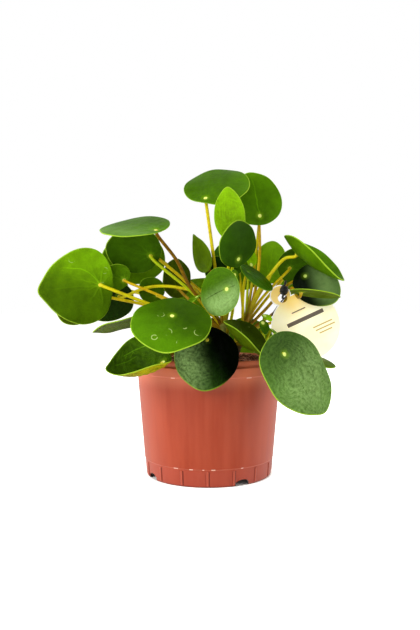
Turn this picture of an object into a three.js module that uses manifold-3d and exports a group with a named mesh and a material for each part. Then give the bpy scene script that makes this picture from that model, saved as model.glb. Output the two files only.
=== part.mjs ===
// A potted pilea: a nursery pot full of soil, a forked stem with its leaf stalks, round blades
// that each join their stalk near the middle, a small offset shoot, and a card tag on an elastic.
//
// Units are millimetres. The origin is on the surface that the pot stands on, on the pot's axis.
// +Z is up, -Y is the front and +X is to the right as seen from the front.
import * as THREE from 'three';
import { mergeVertices } from 'three/addons/utils/BufferGeometryUtils.js';
import Module from 'manifold-3d';

const wasm = await Module();
wasm.setup();

// ---------------------------------------------------------------- driving dimensions

const GAP = 0.3; // clearance between pieces that touch on the real plant

const POT_HEIGHT = 99;
const POT_FOOT_RADIUS = 53.2; // at the surface, outside
const POT_COLLAR_RADIUS = 61.6; // the widest place, outside
const POT_WALL = 1.6;
const POT_BAND_HEIGHT = 14.5; // the ribbed base band
const POT_BAND_FLARE = 1; // how much wider it is at its top than at the surface
const POT_BAND_STEP = 0.7; // how far the wall overhangs the band
const POT_COLLAR = [86, 94.3]; // the collar's lower and upper edges
const POT_LIP_RADIUS = 58.8;
const POT_EDGE = 0.6; // how far its moulded edges are cut back
const POT_INSIDE_STEP = 2; // how far below the outside its inside steps in and out
const POT_FLOOR = 2; // top of the floor's flat centre
const POT_FLOOR_RISE = 4; // the annular recess under the floor, outside the centre
const POT_FLOOR_STEP = 1; // how wide the slope between the two is
const POT_CENTRE_RADIUS = 40; // the flat centre that the pot rests on
const POT_FOOT_WALL = 2; // the wall round the recess
const POT_SIDES = 48;
const RIB = { count: 16, first: -1, width: 2.4, proud: 0.7, root: 1, bottom: 1.2, top: 12.9 };
const NOTCH = { width: 12.8, height: 5, shoulder: 1.6, headings: [-60, 30, 120, 210] };

const SOIL_TOP = 91.5; // at the front, against the wall
const SOIL_SLOPE = 4.5; // how much higher it is banked up against the back
const SOIL_HEAP = 3.5; // and in the middle
const SOIL_CRUMBS = { height: 0.6, coarse: 0.3, fine: 0.8 }; // and their waves, in radians per mm
const SOIL_SIDES = 40;

const TRUNK_FOOT = [20, 4];
const TRUNK_RADIUS = 4.8;
const TRUNK_DEPTH = 24; // how far it goes down into its hole in the soil
const FORK_HEIGHT = 103;
const FORK_DEPTH = 7; // how far down in the trunk the forks start
const CROWN = { left: [11.5, 1, 128], right: [31.5, 1, 127] };
const FORK_RADIUS = 3.6;

const SHOOT_FOOT = [44, -9];
const SHOOT_KNEE = 7; // where it starts to lean, above the soil's front edge
const SHOOT_TOP = [46, -12, 109];
const SHOOT_RADIUS = 1.5;
const SHOOT_DEPTH = 10;

const BLADE_THICKNESS = 1.2;
const BLADE_SECTORS = 18;
const STALK_RADIUS = { least: 1.05, share: 0.008 }; // and what the blade's length adds to it
const STALK_SIDES = 5;
const STALK_STEPS = 6;

const TAG = {
  middle: [84, 3, 125],
  heading: -95, // the printed face looks this way
  lift: 2,
  radius: 30,
  tabRadius: 9.2,
  tabReach: 34.5, // from the card's middle to the middle of its tab
  tabLean: 39.5, // degrees from upright, towards the left
  holeRadius: 4.1,
  holeReach: 31.6,
  neck: 7.6, // half the width where the tab joins the card
  thickness: 0.8,
};
const ELASTIC = {
  thickness: 1.5,
  halfLength: 7.5,
  halfWidth: 4.2,
  back: 2, // how far its middle lies behind the card
  lean: 50, // degrees from the line of the tab, towards the right
  knot: { size: [4.6, 2.6, 3.9], along: -0.8, proud: 1.2 },
};

// Each leaf: the middle of its blade, the heading and lift of its upper face in degrees, how far
// its tip is turned from straight downhill, its length and width, how far its stalk joins from the
// middle (hub, as a share of the length, and side, as a share of the width), its form, its stalk.
//
// Form: dome sinks the whole edge, fold raises the two sides, ripple waves the edge and bend bows
// the blade sideways, all in mm; taper is how much narrower it gets towards its tip than towards
// its base, and point is how far the tip stands out, as shares of half the width and length.
// Stalk: the crown and height it leaves from, then either the pull that bends it at its foot or
// the places it goes by, and how far it runs straight under the blade.
const LEAVES = {
  leaf_top_left: {
    middle: [7, -6, 247.5], face: [-100, 48], spin: 160, size: [56, 57],
    hub: 0.395, form: { dome: 3, ripple: 0.8 },
    stalk: { from: 'left', foot: 126, pull: [-5, -6, 34], reach: 16 },
  },
  leaf_top_right: {
    middle: [41.5, 10, 237.3], face: [-82, 11], spin: -170, size: [49, 47],
    hub: 0.33, form: { dome: 2.5, ripple: 0.6 },
    stalk: { from: 'right', foot: 126, pull: [20, 4, 50], reach: 12 },
  },
  leaf_young_centre: {
    middle: [16.7, -31, 216.3], face: [-105, -8], spin: -177, size: [41, 26],
    hub: 0.42, form: { dome: 0.5, fold: 1.5, point: 0.1 },
    stalk: { from: 'left', foot: 127, pull: [3, -2, 44], reach: 8 },
  },
  leaf_centre_dark: {
    middle: [24.5, -41, 190.8], face: [-54, -18], spin: -167, size: [38, 37],
    hub: 0.32, form: { dome: 2, ripple: 0.5 },
    stalk: { from: 'left', foot: 123, pull: [7, -14, 26], reach: 12 },
  },
  leaf_centre_front: {
    middle: [7.2, -48, 153.3], face: [-128, 5], spin: -75, size: [38, 39],
    hub: 0.21, form: { dome: 2, fold: 1.5 },
    stalk: { from: 'left', foot: 118, pull: [6, -16, 14], reach: 12 },
  },
  leaf_front_big: {
    middle: [-29, -66, 131], face: [-89, 49], spin: -9, size: [60, 62],
    hub: 0.1, form: { dome: 3, ripple: 0.8 },
    stalk: { from: 'left', foot: 112, pull: [-8, -24, 8], reach: 20 },
  },
  leaf_front_dark: {
    middle: [-2, -64, 104], face: [-90, 22], spin: -2, size: [51, 50],
    hub: 0.26, form: { dome: 4, ripple: 0.6 },
    stalk: { from: 'left', foot: 110, pull: [-2, -22, 12], reach: 14 },
  },
  leaf_front_right: {
    middle: [69, -72, 92.5], face: [-59, 16], spin: 38, size: [70, 58.4],
    hub: 0.26, form: { dome: 4, ripple: 1.2, point: 0.1 },
    stalk: { from: 'right', foot: 110, via: [[46, -32, 107]], reach: 12 },
  },
  leaf_lower_left: {
    middle: [-51.8, -57, 92], face: [-100, 60], spin: -65, size: [49, 46],
    hub: 0.35, form: { dome: -8, fold: 10, taper: 0.12, point: 0.1 },
    stalk: { from: 'left', foot: 108, via: [[-30, -42, 104.5], [-35, -49, 104]], reach: 3 },
  },
  leaf_left_edge_on: {
    middle: [-72, -30, 128.7], face: [148, 72], spin: 39, size: [46, 46],
    hub: 0.25, form: { dome: 1.5, ripple: 0.5 },
    stalk: { from: 'left', foot: 113, pull: [-30, -8, 4], reach: 8 },
  },
  leaf_left_big: {
    middle: [-109, -22, 158.5], face: [118, 11], spin: 84, size: [60, 63],
    hub: 0.32, form: { dome: 2.5, ripple: 0.8, taper: 0.25, point: 0.12 },
    stalk: { from: 'left', foot: 118, pull: [-35, -6, 14], reach: 12 },
  },
  leaf_left_behind: {
    middle: [-112.5, -9, 147], face: [120, 11], spin: 28, size: [42, 40],
    hub: 0.2, form: { dome: 2.5, ripple: 0.6 },
    stalk: { from: 'left', foot: 119, pull: [-35, 10, 22], reach: 6 },
  },
  leaf_upper_left_under: {
    middle: [-64.3, -4, 191.3], face: [97, 41], spin: 110, size: [47, 47],
    hub: 0.33, form: { dome: 2.5, ripple: 0.6 },
    stalk: { from: 'left', foot: 122, pull: [-16, -4, 30], reach: 12 },
  },
  leaf_upper_left_back: {
    middle: [-66.6, 10, 185], face: [97, 37], spin: 72, size: [56, 53],
    hub: 0.33, form: { dome: 2.5, ripple: 0.8 },
    stalk: { from: 'left', foot: 122, pull: [-18, 9, 36], reach: 6 },
  },
  leaf_upper_left_flat: {
    middle: [-62, -20, 210.2], face: [-108, 65], spin: -100, size: [61, 52],
    hub: 0.4, side: -0.12, form: { dome: 3, fold: 2, ripple: 0.2, taper: 0.06, point: 0.14 },
    stalk: { from: 'left', foot: 124, via: [[-15.6, -5, 158], [-27, -14, 180.5]], reach: 2 },
  },
  leaf_left_small: {
    middle: [-79.4, -4, 167.8], face: [110, 22], spin: 112, size: [24, 24],
    hub: 0.3, form: { dome: 1 },
    stalk: { from: 'left', foot: 120, pull: [-30, 0, 24], reach: 8 },
  },
  leaf_left_dark: {
    middle: [-91, 15, 149], face: [99, 36], spin: 70, size: [49, 46],
    hub: 0.25, form: { dome: 2.5, ripple: 0.6 },
    stalk: {
      from: 'left', foot: 120, reach: 3,
      via: [
        [-9.5, 3, 152.9], [-25.2, 4, 158.2], [-37.4, 5, 159.7], [-51.4, 5, 159],
        [-60.2, 5, 156.5],
      ],
    },
  },
  leaf_small_dark: {
    middle: [-51, 13, 157], face: [106, 12], spin: 133, size: [24, 23],
    hub: 0.3, form: { dome: 1 },
    stalk: { from: 'left', foot: 119, pull: [-24, 6, 16], reach: 6 },
  },
  leaf_left_centre_back: {
    middle: [-30, 20, 167], face: [133, 2], spin: 176, size: [35, 33],
    hub: 0.26, form: { dome: 1.5, ripple: 0.5 },
    stalk: { from: 'left', foot: 121, pull: [-20, 8, 14], reach: 4 },
  },
  leaf_centre_left_pointed: {
    middle: [-6.6, -6, 187.2], face: [-125, 8], spin: -152, size: [35, 17],
    hub: 0.36, form: { dome: 0.5, fold: 1.5, taper: 0.34, bend: -1.5, point: 0.2 },
    stalk: { from: 'left', foot: 125, pull: [-6, 0, 26], reach: 6 },
  },
  leaf_behind_centre: {
    middle: [17, 13, 184], face: [-100, 0], spin: 180, size: [32, 30],
    hub: 0.3, form: { dome: 1.5 },
    stalk: { from: 'left', foot: 125, pull: [6, 22, 22], reach: 6 },
  },
  leaf_dark_under: {
    middle: [9, 4, 173], face: [-74, -10], spin: -132, size: [27, 26],
    hub: 0.3, form: { dome: 1 },
    stalk: { from: 'left', foot: 124, pull: [2, 12, 18], reach: 5 },
  },
  leaf_young_bright: {
    middle: [37, 10, 185], face: [-60, 20], spin: 170, size: [17, 11],
    hub: 0.4, form: { fold: 1.2 },
    stalk: { from: 'right', foot: 127, pull: [2, 4, 24], reach: 4 },
  },
  leaf_right_back: {
    middle: [55, 28, 182], face: [119, 4], spin: -174, size: [38, 36],
    hub: 0.31, form: { dome: 1.5, ripple: 0.5 },
    stalk: { from: 'right', foot: 124, pull: [8, 4, 24], reach: 6 },
  },
  leaf_right_low_edge: {
    middle: [41.5, -13, 167.5], face: [-35, 45], spin: 55, size: [34, 32],
    hub: 0.29, form: { dome: 1.5 },
    stalk: { from: 'right', foot: 122, pull: [0, -4, 20], reach: 8 },
  },
  leaf_centre_low: {
    middle: [22, -29, 162], face: [-33, -2], spin: 3, size: [20, 17],
    hub: 0.27, form: { dome: 1 },
    stalk: { from: 'left', foot: 124, pull: [2, -6, 24], reach: 4 },
  },
  leaf_right_mid: {
    middle: [78, 18, 179], face: [94, 23], spin: -110, size: [35, 34],
    hub: 0.2, form: { dome: 1.5 },
    stalk: { from: 'right', foot: 125, pull: [14, 4, 30], reach: 8 },
  },
  leaf_right_top: {
    middle: [84.5, -12, 178.3], face: [-23, 53], spin: -12, size: [65, 45],
    hub: 0.22, form: { dome: -6, fold: 7 },
    stalk: {
      from: 'right', foot: 124, reach: 2,
      via: [[42.6, 3, 154.9], [54.2, 3, 171], [65.5, 0, 183.4]],
    },
  },
  leaf_right_low: {
    middle: [92.4, -2, 161], face: [-104, 21], spin: 50, size: [44, 36.5],
    hub: 0.3, form: { dome: 2, ripple: 0.5 },
    stalk: {
      from: 'right', foot: 118, reach: 3,
      via: [[50, 9.5, 140], [66, 8.3, 158.5], [74, 10.5, 164]],
    },
  },
  leaf_right_edge_on: {
    middle: [88, -21, 153.8], face: [64, 75], spin: -60, size: [42, 22],
    hub: 0.28, form: { dome: 0.8 },
    stalk: {
      from: 'right', foot: 116, reach: 2,
      via: [[60, 9.8, 139], [70, 9.8, 152], [71.9, 4.4, 158.2], [75.6, -7, 150]],
    },
  },
  leaf_front_fold: {
    middle: [26.5, -50, 113.2], face: [-27, 50], spin: 10, size: [44, 37],
    hub: 0.13, form: { dome: -5, fold: 7 },
    stalk: { from: 'right', foot: 112, pull: [0, -18, 4], reach: 6 },
  },
  leaf_behind_front_right: {
    middle: [89.5, -36, 99.5], face: [-42, 67], spin: 50, size: [28, 25],
    hub: 0.28, form: { dome: 1.5 },
    stalk: { from: 'right', foot: 108, pull: [26, 6, 8], reach: 6 },
  },
  leaf_left_sliver: {
    middle: [-13, -15, 148], face: [-150, 60], spin: 20, size: [17, 12],
    hub: 0.3, form: { fold: 1 },
    stalk: { from: 'left', foot: 121, pull: [-8, 0, 10], reach: 3 },
  },
  leaf_back_top: {
    middle: [42, 30, 238], face: [80, 30], spin: 160, size: [40, 39],
    hub: 0.3, form: { dome: 2 },
    stalk: { from: 'right', foot: 127, pull: [10, 10, 50], reach: 10 },
  },
  leaf_back_upper_left: {
    middle: [-70, 40, 192], face: [115, 35], spin: 20, size: [44, 43],
    hub: 0.25, form: { dome: 2.5, ripple: 0.6 },
    stalk: { from: 'left', foot: 123, pull: [4, 50, 26], reach: 10 },
  },
  leaf_back_left: {
    middle: [-99, 49, 153], face: [140, 30], spin: 10, size: [50, 48],
    hub: 0.25, form: { dome: 3, ripple: 0.8 },
    stalk: { from: 'left', foot: 118, pull: [-26, 18, 30], reach: 12 },
  },
  leaf_back_centre: {
    middle: [30, 44, 180], face: [85, 25], spin: -20, size: [46, 45],
    hub: 0.25, form: { dome: 2.5, ripple: 0.6 },
    stalk: { from: 'right', foot: 124, pull: [0, 14, 36], reach: 10 },
  },
  leaf_back_upper_right: {
    middle: [80, 50, 172], face: [60, 35], spin: 10, size: [42, 41],
    hub: 0.25, form: { dome: 2.5 },
    stalk: { from: 'right', foot: 121, pull: [20, 22, 26], reach: 10 },
  },
  leaf_back_right: {
    middle: [90, 46, 124], face: [45, 30], spin: -10, size: [52, 51],
    hub: 0.22, form: { dome: 3, ripple: 0.8 },
    stalk: { from: 'right', foot: 112, pull: [24, 18, 22], reach: 14 },
  },
  leaf_back_left_low: {
    middle: [-44, 66, 116], face: [115, 35], spin: 15, size: [52, 52],
    hub: 0.2, form: { dome: 3, ripple: 0.8 },
    stalk: { from: 'left', foot: 111, pull: [-16, 24, 20], reach: 14 },
  },
  leaf_back_low: {
    middle: [4, 72, 112], face: [88, 28], spin: -15, size: [48, 48],
    hub: 0.25, form: { dome: 3 },
    stalk: { from: 'left', foot: 109, pull: [2, 26, 18], reach: 14 },
  },
  leaf_back_right_low: {
    middle: [41, 58, 112], face: [65, 30], spin: 10, size: [50, 49],
    hub: 0.22, form: { dome: 3, ripple: 0.6 },
    stalk: { from: 'right', foot: 109, pull: [8, 24, 20], reach: 14 },
  },
  leaf_back_middle: {
    middle: [-8, 58, 152], face: [100, 40], spin: 5, size: [50, 50],
    hub: 0.22, form: { dome: 3, ripple: 0.8 },
    stalk: { from: 'left', foot: 116, pull: [-6, 16, 34], reach: 14 },
  },
};

const SHOOT_LEAVES = {
  leaf_shoot_upper: {
    middle: [48.5, -20, 133], face: [-60, 55], spin: 20, size: [10, 8],
    hub: 0.3, form: { fold: 0.8 },
    stalk: { foot: 108, pull: [1, -1, 8], reach: 3 },
  },
  leaf_shoot_front: {
    middle: [45.5, -24, 125], face: [-65, 25], spin: 0, size: [13, 9],
    hub: 0.3, form: { fold: 1.5 },
    stalk: { foot: 106, pull: [0, -4, 6], reach: 3 },
  },
  leaf_shoot_side: {
    middle: [56, -10, 121], face: [-20, 50], spin: 0, size: [11, 9],
    hub: 0.3, form: { dome: 0.5 },
    stalk: { foot: 105, pull: [3, 0, 5], reach: 3 },
  },
};

// ---------------------------------------------------------------- materials

function plain(color, roughness) {
  return new THREE.MeshStandardMaterial({ color, roughness, metalness: 0 });
}

const finishes = {
  pot: plain(0xb0492d, 0.5),
  soil: plain(0x5a2f22, 0.95),
  stem: plain(0x8a8a2c, 0.6),
  leaf: plain(0x3f8a1f, 0.4),
  card: plain(0xfbf2c4, 0.7),
  elastic: plain(0x151515, 0.8),
};

// ---------------------------------------------------------------- solids

function solidOf(geometry) {
  const bare = geometry.clone();
  bare.deleteAttribute('normal');
  bare.deleteAttribute('uv');
  const merged = mergeVertices(bare, 1e-4);
  const vertProperties = new Float32Array(merged.attributes.position.array);
  const triVerts = new Uint32Array(merged.index.array);
  return new wasm.Manifold(new wasm.Mesh({ numProp: 3, vertProperties, triVerts }));
}

function geometryOf(solid) {
  const mesh = solid.getMesh();
  const geometry = new THREE.BufferGeometry();
  geometry.setAttribute('position', new THREE.BufferAttribute(mesh.vertProperties, 3));
  geometry.setIndex(new THREE.BufferAttribute(mesh.triVerts, 1));
  return geometry;
}

function piece(name, geometry, finish) {
  const mesh = new THREE.Mesh(geometry, finish);
  mesh.name = name;
  return mesh;
}

function uprightRod(radius, bottom, top, x, y, sides) {
  const rod = new THREE.CylinderGeometry(radius, radius, top - bottom, sides);
  rod.rotateX(Math.PI / 2);
  rod.translate(x, y, (top + bottom) / 2);
  return rod;
}

function tubeAlong(curve, radius, sides, steps) {
  const section = new THREE.Shape();
  for (let i = 0; i < sides; i += 1) {
    const turn = (i / sides) * 2 * Math.PI;
    const place = [radius * Math.cos(turn), radius * Math.sin(turn)];
    if (i === 0) section.moveTo(...place);
    else section.lineTo(...place);
  }
  return new THREE.ExtrudeGeometry(section, { steps, extrudePath: curve, bevelEnabled: false });
}

// ---------------------------------------------------------------- pot and soil

function potWallRadius(z) {
  const foot = POT_FOOT_RADIUS + POT_BAND_STEP + 1;
  const share = (z - POT_BAND_HEIGHT) / (POT_COLLAR[0] - POT_BAND_HEIGHT);
  return foot + (POT_COLLAR_RADIUS - 0.5 - foot) * share;
}

function lathe(profile, sides) {
  const points = profile.map(([r, z]) => new THREE.Vector2(r, z));
  const turned = new THREE.LatheGeometry(points, sides);
  turned.rotateX(Math.PI / 2);
  return turned;
}

function potBody() {
  const bandTop = POT_FOOT_RADIUS + POT_BAND_FLARE;
  const bottomWall = POT_FOOT_RADIUS - POT_WALL;
  const footInside = POT_FOOT_RADIUS - POT_FOOT_WALL;
  const lipInside = POT_LIP_RADIUS - POT_WALL;
  const collarInside = potWallRadius(POT_COLLAR[0]) - POT_WALL;
  const floorTop = POT_FLOOR_RISE + POT_WALL;
  return lathe([
    [0, 0],
    [POT_CENTRE_RADIUS, 0],
    [POT_CENTRE_RADIUS + POT_FLOOR_STEP, POT_FLOOR_RISE],
    [footInside, POT_FLOOR_RISE],
    [footInside, 0],
    [POT_FOOT_RADIUS - POT_EDGE, 0],
    [POT_FOOT_RADIUS, 2 * POT_EDGE],
    [bandTop, POT_BAND_HEIGHT - POT_BAND_STEP],
    [potWallRadius(POT_BAND_HEIGHT), POT_BAND_HEIGHT],
    [potWallRadius(POT_COLLAR[0]), POT_COLLAR[0]],
    [POT_COLLAR_RADIUS, POT_COLLAR[0] + POT_EDGE],
    [POT_COLLAR_RADIUS, POT_COLLAR[1] - POT_EDGE],
    [POT_LIP_RADIUS + POT_EDGE / 2, POT_COLLAR[1]],
    [POT_LIP_RADIUS, POT_HEIGHT - POT_EDGE],
    [POT_LIP_RADIUS - POT_EDGE, POT_HEIGHT],
    [lipInside + POT_EDGE / 2, POT_HEIGHT],
    [lipInside, POT_HEIGHT - POT_EDGE],
    [lipInside, POT_COLLAR[1] - POT_INSIDE_STEP],
    [collarInside, POT_COLLAR[0] - POT_INSIDE_STEP],
    [bottomWall, floorTop],
    [POT_CENTRE_RADIUS - POT_FLOOR_STEP, floorTop],
    [POT_CENTRE_RADIUS - 2 * POT_FLOOR_STEP, POT_FLOOR],
    [0, POT_FLOOR],
  ], POT_SIDES);
}

// A rib leans outwards with the band that it stands on.
function potRib(heading) {
  const bandSlope = POT_BAND_FLARE / (POT_BAND_HEIGHT - POT_BAND_STEP);
  const middle = (RIB.top + RIB.bottom) / 2;
  const rib = new THREE.BoxGeometry(RIB.width, RIB.proud + RIB.root, RIB.top - RIB.bottom);
  rib.translate(0, (RIB.root - RIB.proud) / 2, 0);
  rib.rotateX(Math.atan(bandSlope));
  rib.translate(0, -(POT_FOOT_RADIUS + bandSlope * middle), middle);
  rib.rotateZ(THREE.MathUtils.degToRad(heading));
  return rib;
}

function potNotch(heading) {
  const { height, shoulder } = NOTCH;
  const half = NOTCH.width / 2;
  const arch = new THREE.Shape();
  arch.moveTo(-half, -1);
  arch.lineTo(half, -1);
  arch.absellipse(0, shoulder, half, height - shoulder, 0, Math.PI, false);
  const nearest = (POT_CENTRE_RADIUS + POT_FOOT_RADIUS) / 2;
  const depth = POT_COLLAR_RADIUS - nearest;
  const cut = new THREE.ExtrudeGeometry(arch, { depth, bevelEnabled: false, curveSegments: 4 });
  cut.rotateX(Math.PI / 2);
  cut.translate(0, -nearest, 0);
  cut.rotateZ(THREE.MathUtils.degToRad(heading));
  return cut;
}

function pot() {
  let body = solidOf(potBody());
  for (let i = 0; i < RIB.count; i += 1) {
    body = body.add(solidOf(potRib(RIB.first + (i * 360) / RIB.count)));
  }
  for (const heading of NOTCH.headings) body = body.subtract(solidOf(potNotch(heading)));
  return piece('pot', geometryOf(body), finishes.pot);
}

// The soil is banked up towards the back, heaped in the middle and crumbly all over.
function soilLevel(x, y, edge) {
  const { height, coarse, fine } = SOIL_CRUMBS;
  const out = Math.hypot(x, y) / edge;
  const back = (y / edge + 1) / 2;
  const crumbs = Math.sin(x * coarse + 1) * Math.cos(y * coarse) + Math.sin((x - y) * fine) / 2;
  return SOIL_TOP + SOIL_SLOPE * back + SOIL_HEAP * (1 - out ** 4) + height * crumbs;
}

function soil() {
  const floorTop = POT_FLOOR_RISE + POT_WALL + GAP;
  const floorEdge = POT_CENTRE_RADIUS - 2 * POT_FLOOR_STEP - GAP;
  const atFloor = POT_FOOT_RADIUS - POT_WALL - GAP;
  const atCollar = potWallRadius(POT_COLLAR[0]) - POT_WALL - GAP;
  const atTop = POT_LIP_RADIUS - POT_WALL - GAP;
  const inside = POT_COLLAR[0] - POT_INSIDE_STEP;
  const rings = [1, 0.96, 0.8, 0.6, 0.4, 0.2];
  const turned = lathe([
    [0, POT_FLOOR + GAP],
    [floorEdge - GAP, POT_FLOOR + GAP],
    [floorEdge + POT_FLOOR_STEP - GAP, floorTop],
    [atFloor, floorTop],
    [atCollar, inside - 1],
    [atTop, (inside + SOIL_TOP) / 2],
    ...rings.map((share) => [atTop * share, SOIL_TOP]),
    [0, SOIL_TOP],
  ], SOIL_SIDES);
  const place = turned.attributes.position;
  for (let i = 0; i < place.count; i += 1) {
    if (place.getZ(i) > SOIL_TOP - GAP) {
      place.setZ(i, soilLevel(place.getX(i), place.getY(i), atTop));
    }
  }
  const above = SOIL_TOP + SOIL_SLOPE + SOIL_HEAP + 2;
  const trunkHole = uprightRod(
    TRUNK_RADIUS + GAP, SOIL_TOP - TRUNK_DEPTH, above, ...TRUNK_FOOT, 16);
  const shootHole = uprightRod(
    SHOOT_RADIUS + GAP, SOIL_TOP - SHOOT_DEPTH, above, ...SHOOT_FOOT, 12);
  const body = solidOf(turned).subtract(solidOf(trunkHole)).subtract(solidOf(shootHole));
  return piece('soil', geometryOf(body), finishes.soil);
}

// ---------------------------------------------------------------- leaves and stems

function direction([heading, lift]) {
  const turn = THREE.MathUtils.degToRad(heading);
  const rise = THREE.MathUtils.degToRad(lift);
  const flat = Math.cos(rise);
  return new THREE.Vector3(flat * Math.cos(turn), flat * Math.sin(turn), Math.sin(rise));
}

// The blade's own frame: X across it, Y to its tip, Z out of its upper face.
function bladeFrame(leaf) {
  const up = direction(leaf.face);
  const downhill = new THREE.Vector3(0, 0, -1).addScaledVector(up, up.z).normalize();
  const sideways = new THREE.Vector3().crossVectors(up, downhill);
  const spin = THREE.MathUtils.degToRad(leaf.spin);
  const tip = downhill.multiplyScalar(Math.cos(spin)).addScaledVector(sideways, Math.sin(spin));
  const across = new THREE.Vector3().crossVectors(tip, up);
  const frame = new THREE.Matrix4().makeBasis(across, tip, up);
  return frame.setPosition(...leaf.middle);
}

function bladeHeight(leaf, x, y) {
  const { dome = 0, fold = 0, ripple = 0 } = leaf.form;
  const u = x / (leaf.size[1] / 2);
  const v = y / (leaf.size[0] / 2);
  const out = u * u + v * v;
  const wave = Math.sin(5 * Math.atan2(u, v) + leaf.middle[0] * 0.7);
  return fold * u * u - dome * out + ripple * out * out * wave;
}

// A round outline, a little broader towards its base, with a short blunt tip.
function bladeEdge(leaf, turn) {
  const [length, width] = leaf.size;
  const { taper = 0.07, bend = 0, point = 0.035 } = leaf.form;
  const fromTip = Math.atan2(Math.sin(turn), Math.cos(turn));
  const x = (width / 2) * Math.sin(turn) * (1 - taper * Math.cos(turn));
  const y = (length / 2) * (Math.cos(turn) + point * Math.exp(-((fromTip / 0.35) ** 2)));
  return [x + bend * Math.cos(turn) ** 2, y];
}

// Where the stalk joins the blade, in the blade's own frame.
function hubPlace(leaf) {
  const { side = 0, hub, size } = leaf;
  return [side * size[1], -hub * size[0]];
}

function blade(leaf) {
  const [hubX, hubY] = hubPlace(leaf);
  const shares = [0.6, 1];
  const n = BLADE_SECTORS;
  const top = [[hubX, hubY]];
  for (const share of shares) {
    for (let i = 0; i < n; i += 1) {
      const [x, y] = bladeEdge(leaf, (i / n) * 2 * Math.PI);
      top.push([hubX + (x - hubX) * share, hubY + (y - hubY) * share]);
    }
  }
  const positions = [];
  for (const sink of [0, BLADE_THICKNESS]) {
    for (const [x, y] of top) positions.push(x, y, bladeHeight(leaf, x, y) - sink);
  }
  const index = [];
  const under = top.length;
  const addBoth = (a, b, c) => {
    index.push(a, c, b);
    index.push(under + a, under + b, under + c);
  };
  for (let i = 0; i < n; i += 1) {
    const j = (i + 1) % n;
    addBoth(0, 1 + i, 1 + j);
    for (let ring = 1; ring < shares.length; ring += 1) {
      const inner = 1 + (ring - 1) * n;
      const outer = inner + n;
      addBoth(inner + i, outer + i, outer + j);
      addBoth(inner + i, outer + j, inner + j);
    }
    const rim = 1 + (shares.length - 1) * n;
    index.push(rim + i, rim + j, under + rim + j);
    index.push(rim + i, under + rim + j, under + rim + i);
  }
  const geometry = new THREE.BufferGeometry();
  geometry.setAttribute('position', new THREE.Float32BufferAttribute(positions, 3));
  geometry.setIndex(index);
  return geometry.applyMatrix4(bladeFrame(leaf));
}

function stalk(leaf, start) {
  const frame = bladeFrame(leaf);
  const [hubX, hubY] = hubPlace(leaf);
  const under = bladeHeight(leaf, hubX, hubY) - BLADE_THICKNESS - GAP;
  const end = new THREE.Vector3(hubX, hubY, under).applyMatrix4(frame);
  const { pull, via, reach } = leaf.stalk;
  const below = new THREE.Vector3(hubX, hubY, under - reach).applyMatrix4(frame);
  const radius = STALK_RADIUS.least + leaf.size[0] * STALK_RADIUS.share;
  if (via) {
    const places = [start, ...via.map((place) => new THREE.Vector3(...place)), below, end];
    const bent = new THREE.CatmullRomCurve3(places, false, 'centripetal');
    return tubeAlong(bent, radius, STALK_SIDES, 2 * STALK_STEPS);
  }
  const pulled = start.clone().add(new THREE.Vector3(...pull));
  const route = new THREE.CubicBezierCurve3(start, pulled, below, end);
  return tubeAlong(route, radius, STALK_SIDES, STALK_STEPS);
}

function alongFork(side, height) {
  const [x, y, z] = CROWN[side];
  const share = (height - FORK_HEIGHT) / (z - FORK_HEIGHT);
  const [footX, footY] = TRUNK_FOOT;
  return new THREE.Vector3(footX + (x - footX) * share, footY + (y - footY) * share, height);
}

function forkSolid(side) {
  const base = new THREE.Vector3(...TRUNK_FOOT, FORK_HEIGHT - FORK_DEPTH);
  const top = new THREE.Vector3(...CROWN[side]);
  return solidOf(tubeAlong(new THREE.LineCurve3(base, top), FORK_RADIUS, 10, 1));
}

function stemAndStalks() {
  const bottom = SOIL_TOP - TRUNK_DEPTH + GAP;
  let body = solidOf(uprightRod(TRUNK_RADIUS, bottom, FORK_HEIGHT - 2, ...TRUNK_FOOT, 12));
  for (const side of ['left', 'right']) body = body.add(forkSolid(side));
  for (const leaf of Object.values(LEAVES)) {
    const start = alongFork(leaf.stalk.from, leaf.stalk.foot);
    body = body.add(solidOf(stalk(leaf, start)));
  }
  return piece('stem_and_stalks', geometryOf(body), finishes.stem);
}

function offsetShoot() {
  const bottom = SOIL_TOP - SHOOT_DEPTH + GAP;
  const knee = new THREE.Vector3(...SHOOT_FOOT, SOIL_TOP + SHOOT_KNEE);
  const top = new THREE.Vector3(...SHOOT_TOP);
  const rod = uprightRod(SHOOT_RADIUS, bottom, knee.z, ...SHOOT_FOOT, 10);
  const leaning = new THREE.LineCurve3(knee.clone().setZ(knee.z - SHOOT_RADIUS), top);
  let body = solidOf(rod).add(solidOf(tubeAlong(leaning, SHOOT_RADIUS, 10, 1)));
  for (const leaf of Object.values(SHOOT_LEAVES)) {
    const share = (leaf.stalk.foot - knee.z) / (top.z - knee.z);
    const start = knee.clone().lerp(top, share);
    body = body.add(solidOf(stalk(leaf, start)));
  }
  return piece('offset_shoot', geometryOf(body), finishes.stem);
}

// ---------------------------------------------------------------- tag and its elastic

// The tag's own frame: X across it, Y from its middle to its tab, Z out of its printed face.
function tagFrame() {
  const face = direction([TAG.heading, TAG.lift]);
  const right = new THREE.Vector3().crossVectors(new THREE.Vector3(0, 0, 1), face).normalize();
  const up = new THREE.Vector3().crossVectors(face, right);
  const lean = THREE.MathUtils.degToRad(TAG.tabLean);
  const tab = up.multiplyScalar(Math.cos(lean)).addScaledVector(right, -Math.sin(lean));
  const across = new THREE.Vector3().crossVectors(tab, face);
  return new THREE.Matrix4().makeBasis(across, tab, face).setPosition(...TAG.middle);
}

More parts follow.
